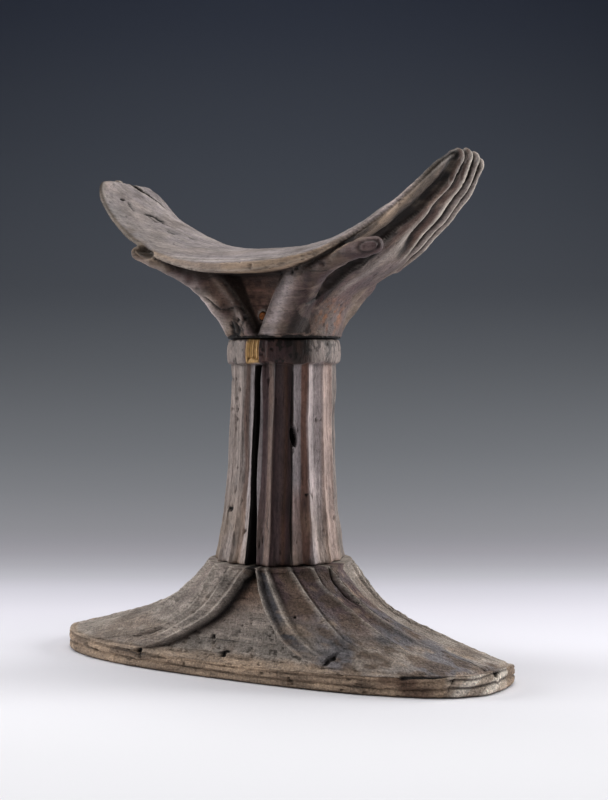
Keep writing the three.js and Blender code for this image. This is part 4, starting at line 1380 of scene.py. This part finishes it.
def wood_material(name, grain, fibre, roughness, bump, speckle, gritty):
    """Old wood: the painted colour, broken up by fibres along the grain, blotches, fine checks and pores."""
    make = Nodes(name)

    def stretch(share):
        return tuple(share if axis == grain else 1.0 for axis in "XYZ")

    fibres = make.noise(fibre, 7, stretch(0.05))
    streaks = make.noise(fibre * 0.3, 4, stretch(0.05))
    checks = make.noise(fibre * 1.3, 3, stretch(0.035))
    blotches = make.noise(90, 6, (1, 1, 1))
    pores = make.noise(1500, 3, stretch(0.3))
    grit = make.noise(1300, 2, (1, 1, 1))
    specks = make.noise(750, 4, stretch(0.3))
    shade = make.with_ramps("MULTIPLY", make.ramp(fibres, 0.7, 0.7, 1.28), (
        (streaks, 0.7, 0.8, 1.2),
        (blotches, 0.7, 0.72, 1.25),
        (pores, 0.6, 0.7, 1.1),
        (checks, 0.36, 0.45, 1.0),
        (specks, 0.4, 1.0 - speckle, 1.0),
        (grit, 0.7, 1.0 - 0.4 * gritty, 1.0 + 0.6 * gritty),
    ))
    height = make.math("ADD", make.math("MULTIPLY", fibres, 0.7), make.math("MULTIPLY", pores, 0.5))
    height = make.with_ramps("ADD", height, (
        (checks, 0.36, -0.6, 0.0),
        (specks, 0.4, -speckle, 0.0),
        (grit, 0.7, -gritty, gritty),
    ))
    relief = make.nodes.new("ShaderNodeBump")
    relief.inputs["Strength"].default_value = bump
    relief.inputs["Distance"].default_value = BUMP_DISTANCE
    make.shader.inputs["Specular IOR Level"].default_value = 0.25
    make.links.new(make.scaled(make.paint(), shade), make.shader.inputs["Base Color"])
    gloss = make.ramp(blotches, 0.7, roughness - 0.1, roughness + 0.1)
    make.links.new(gloss, make.shader.inputs["Roughness"])
    make.links.new(height, relief.inputs["Height"])
    make.links.new(relief.outputs["Normal"], make.shader.inputs["Normal"])
    return make.material


def backdrop_material():
    make = Nodes("backdrop_paper")
    make.links.new(make.paint(), make.shader.inputs["Base Color"])
    make.shader.inputs["Roughness"].default_value = 0.9
    make.shader.inputs["Specular IOR Level"].default_value = 0.0
    return make.material


# Camera, backdrop and light

CAMERA_PLACE = (0.2881, -0.4942, 0.1215)
CAMERA_AZIMUTH = math.radians(29.2)
CAMERA_DIP = math.radians(1.41)
CAMERA_LENS = 63.0
CAMERA_SENSOR = 36
FORWARD = np.array([-math.sin(CAMERA_AZIMUTH), math.cos(CAMERA_AZIMUTH), 0.0])
RIGHTWARD = np.array([math.cos(CAMERA_AZIMUTH), math.sin(CAMERA_AZIMUTH), 0.0])
UPWARD = np.array([0.0, 0.0, 1.0])


def studio_place(right, forward, up):
    """A place in metres to the right of, beyond and above the headrest's middle, as the camera sees it."""
    return RIGHTWARD * right + FORWARD * forward + UPWARD * up


def make_camera():
    data = bpy.data.cameras.new("camera")
    data.lens = CAMERA_LENS
    data.sensor_width = CAMERA_SENSOR
    data.sensor_fit = "AUTO"
    camera = bpy.data.objects.new("camera", data)
    camera.location = CAMERA_PLACE
    camera.rotation_euler = (math.pi / 2 - CAMERA_DIP, 0, CAMERA_AZIMUTH)
    bpy.context.scene.collection.objects.link(camera)
    bpy.context.scene.camera = camera


SWEEP_START = 0.12
SWEEP_RADIUS = 1.6
SWEEP_STEPS = 90
FLOOR_STATIONS = (-3.0, -1.0, -0.3)
BACKDROP_REACH = 3.5
BACKDROP_DROP = 0.0002
# the backdrop's grey from the floor to the top of the sweep, by distance along it in metres; its darkening
# with height is painted shade
BACKDROP_STOPS = (
    -3.0, -0.24, -0.17, -0.05, 0.0, 0.06, 0.11, 0.17, 0.22, 0.32, 0.42, 0.62, 0.81, 1.1, 1.28, 1.45, 4.0,
)
BACKDROP_GREYS = (
    (0.77, 0.765, 0.79), (0.77, 0.765, 0.79), (0.82, 0.81, 0.85), (0.7, 0.69, 0.74),
    (0.64, 0.625, 0.68), (0.52, 0.51, 0.56), (0.36, 0.355, 0.385), (0.258, 0.252, 0.276),
    (0.224, 0.224, 0.241), (0.182, 0.187, 0.201), (0.152, 0.159, 0.172), (0.113, 0.12, 0.133),
    (0.083, 0.09, 0.106), (0.088, 0.099, 0.124), (0.087, 0.099, 0.13), (0.08, 0.094, 0.135),
    (0.05, 0.06, 0.08),
)
# each light's name, how far it is to the right, beyond and above in metres, its size and its power
LIGHTS = (
    ("left_box", (-0.8, 0.12, 0.28), (0.3, 0.8), 6.2),
    ("right_box", (0.8, 0.2, 0.26), (0.3, 0.8), 7.8),
    ("top_box", (0, 0.05, 1.1), (0.9, 0.7), 10.0),
    ("fill_box", (0.1, -1.4, 0.5), (0.6, 0.6), 1.6),
)
LIGHT_TARGET = (0, 0, 0.1)
WORLD_COLOUR = (0.12, 0.125, 0.14, 1)
WORLD_STRENGTH = 0.15


def make_backdrop():
    """White paper that lies under the headrest and sweeps up behind it, painted darker with height as painted
    shade.
    """
    curved = SWEEP_RADIUS * math.pi / 2
    sweep_end = SWEEP_START + curved
    stations = np.concatenate([FLOOR_STATIONS, np.linspace(-0.2, sweep_end, SWEEP_STEPS), [sweep_end + 1.5]])
    points, colours = [], []
    for station in stations:
        turn = min(max((station - SWEEP_START) / SWEEP_RADIUS, 0.0), math.pi / 2)
        beyond = max(station - SWEEP_START - curved, 0.0)
        forward = min(station, SWEEP_START) + SWEEP_RADIUS * math.sin(turn)
        up = SWEEP_RADIUS * (1 - math.cos(turn)) + beyond - BACKDROP_DROP
        away = station - SWEEP_START
        points += [studio_place(right, forward, up) for right in (-BACKDROP_REACH, BACKDROP_REACH)]
        colours += [[np.interp(away, BACKDROP_STOPS, greys) for greys in zip(*BACKDROP_GREYS)]] * 2
    faces = [(2 * i, 2 * i + 1, 2 * i + 3, 2 * i + 2) for i in range(len(stations) - 1)]
    mesh = bpy.data.meshes.new("backdrop")
    mesh.from_pydata([tuple(point) for point in points], [], faces)
    mesh.polygons.foreach_set("use_smooth", np.ones(len(faces), bool))
    store_paint(mesh, colours)
    mesh.materials.append(backdrop_material())
    backdrop = bpy.data.objects.new("backdrop", mesh)
    bpy.context.scene.collection.objects.link(backdrop)


def add_light(name, place, size, energy):
    data = bpy.data.lights.new(name, "AREA")
    data.shape = "RECTANGLE"
    data.size, data.size_y = size
    data.energy = energy
    lamp = bpy.data.objects.new(name, data)
    lamp.location = studio_place(*place)
    lamp.rotation_euler = (Vector(LIGHT_TARGET) - lamp.location).to_track_quat("-Z", "Y").to_euler()
    bpy.context.scene.collection.objects.link(lamp)


def make_lights():
    for light in LIGHTS:
        add_light(*light)
    world = bpy.data.worlds.new("studio")
    world.use_nodes = True
    background = world.node_tree.nodes["Background"].inputs
    background["Color"].default_value = WORLD_COLOUR
    background["Strength"].default_value = WORLD_STRENGTH
    bpy.context.scene.world = world
    bpy.context.scene.view_settings.view_transform = "Standard"


make_camera()
make_backdrop()
make_lights()
make_foot().data.materials.append(wood_material(
    "foot_wood", "X", fibre=420, roughness=0.66, bump=0.7, speckle=0.35, gritty=0.7))
make_column().data.materials.append(wood_material(
    "column_wood", "Z", fibre=520, roughness=0.55, bump=0.7, speckle=0.15, gritty=0.1))
make_rest().data.materials.append(wood_material(
    "rest_wood", "X", fibre=560, roughness=0.58, bump=0.55, speckle=0.2, gritty=0.15))
make_peg().data.materials.append(wood_material(
    "peg_wood", "Y", fibre=700, roughness=0.7, bump=0.4, speckle=0.2, gritty=0.0))
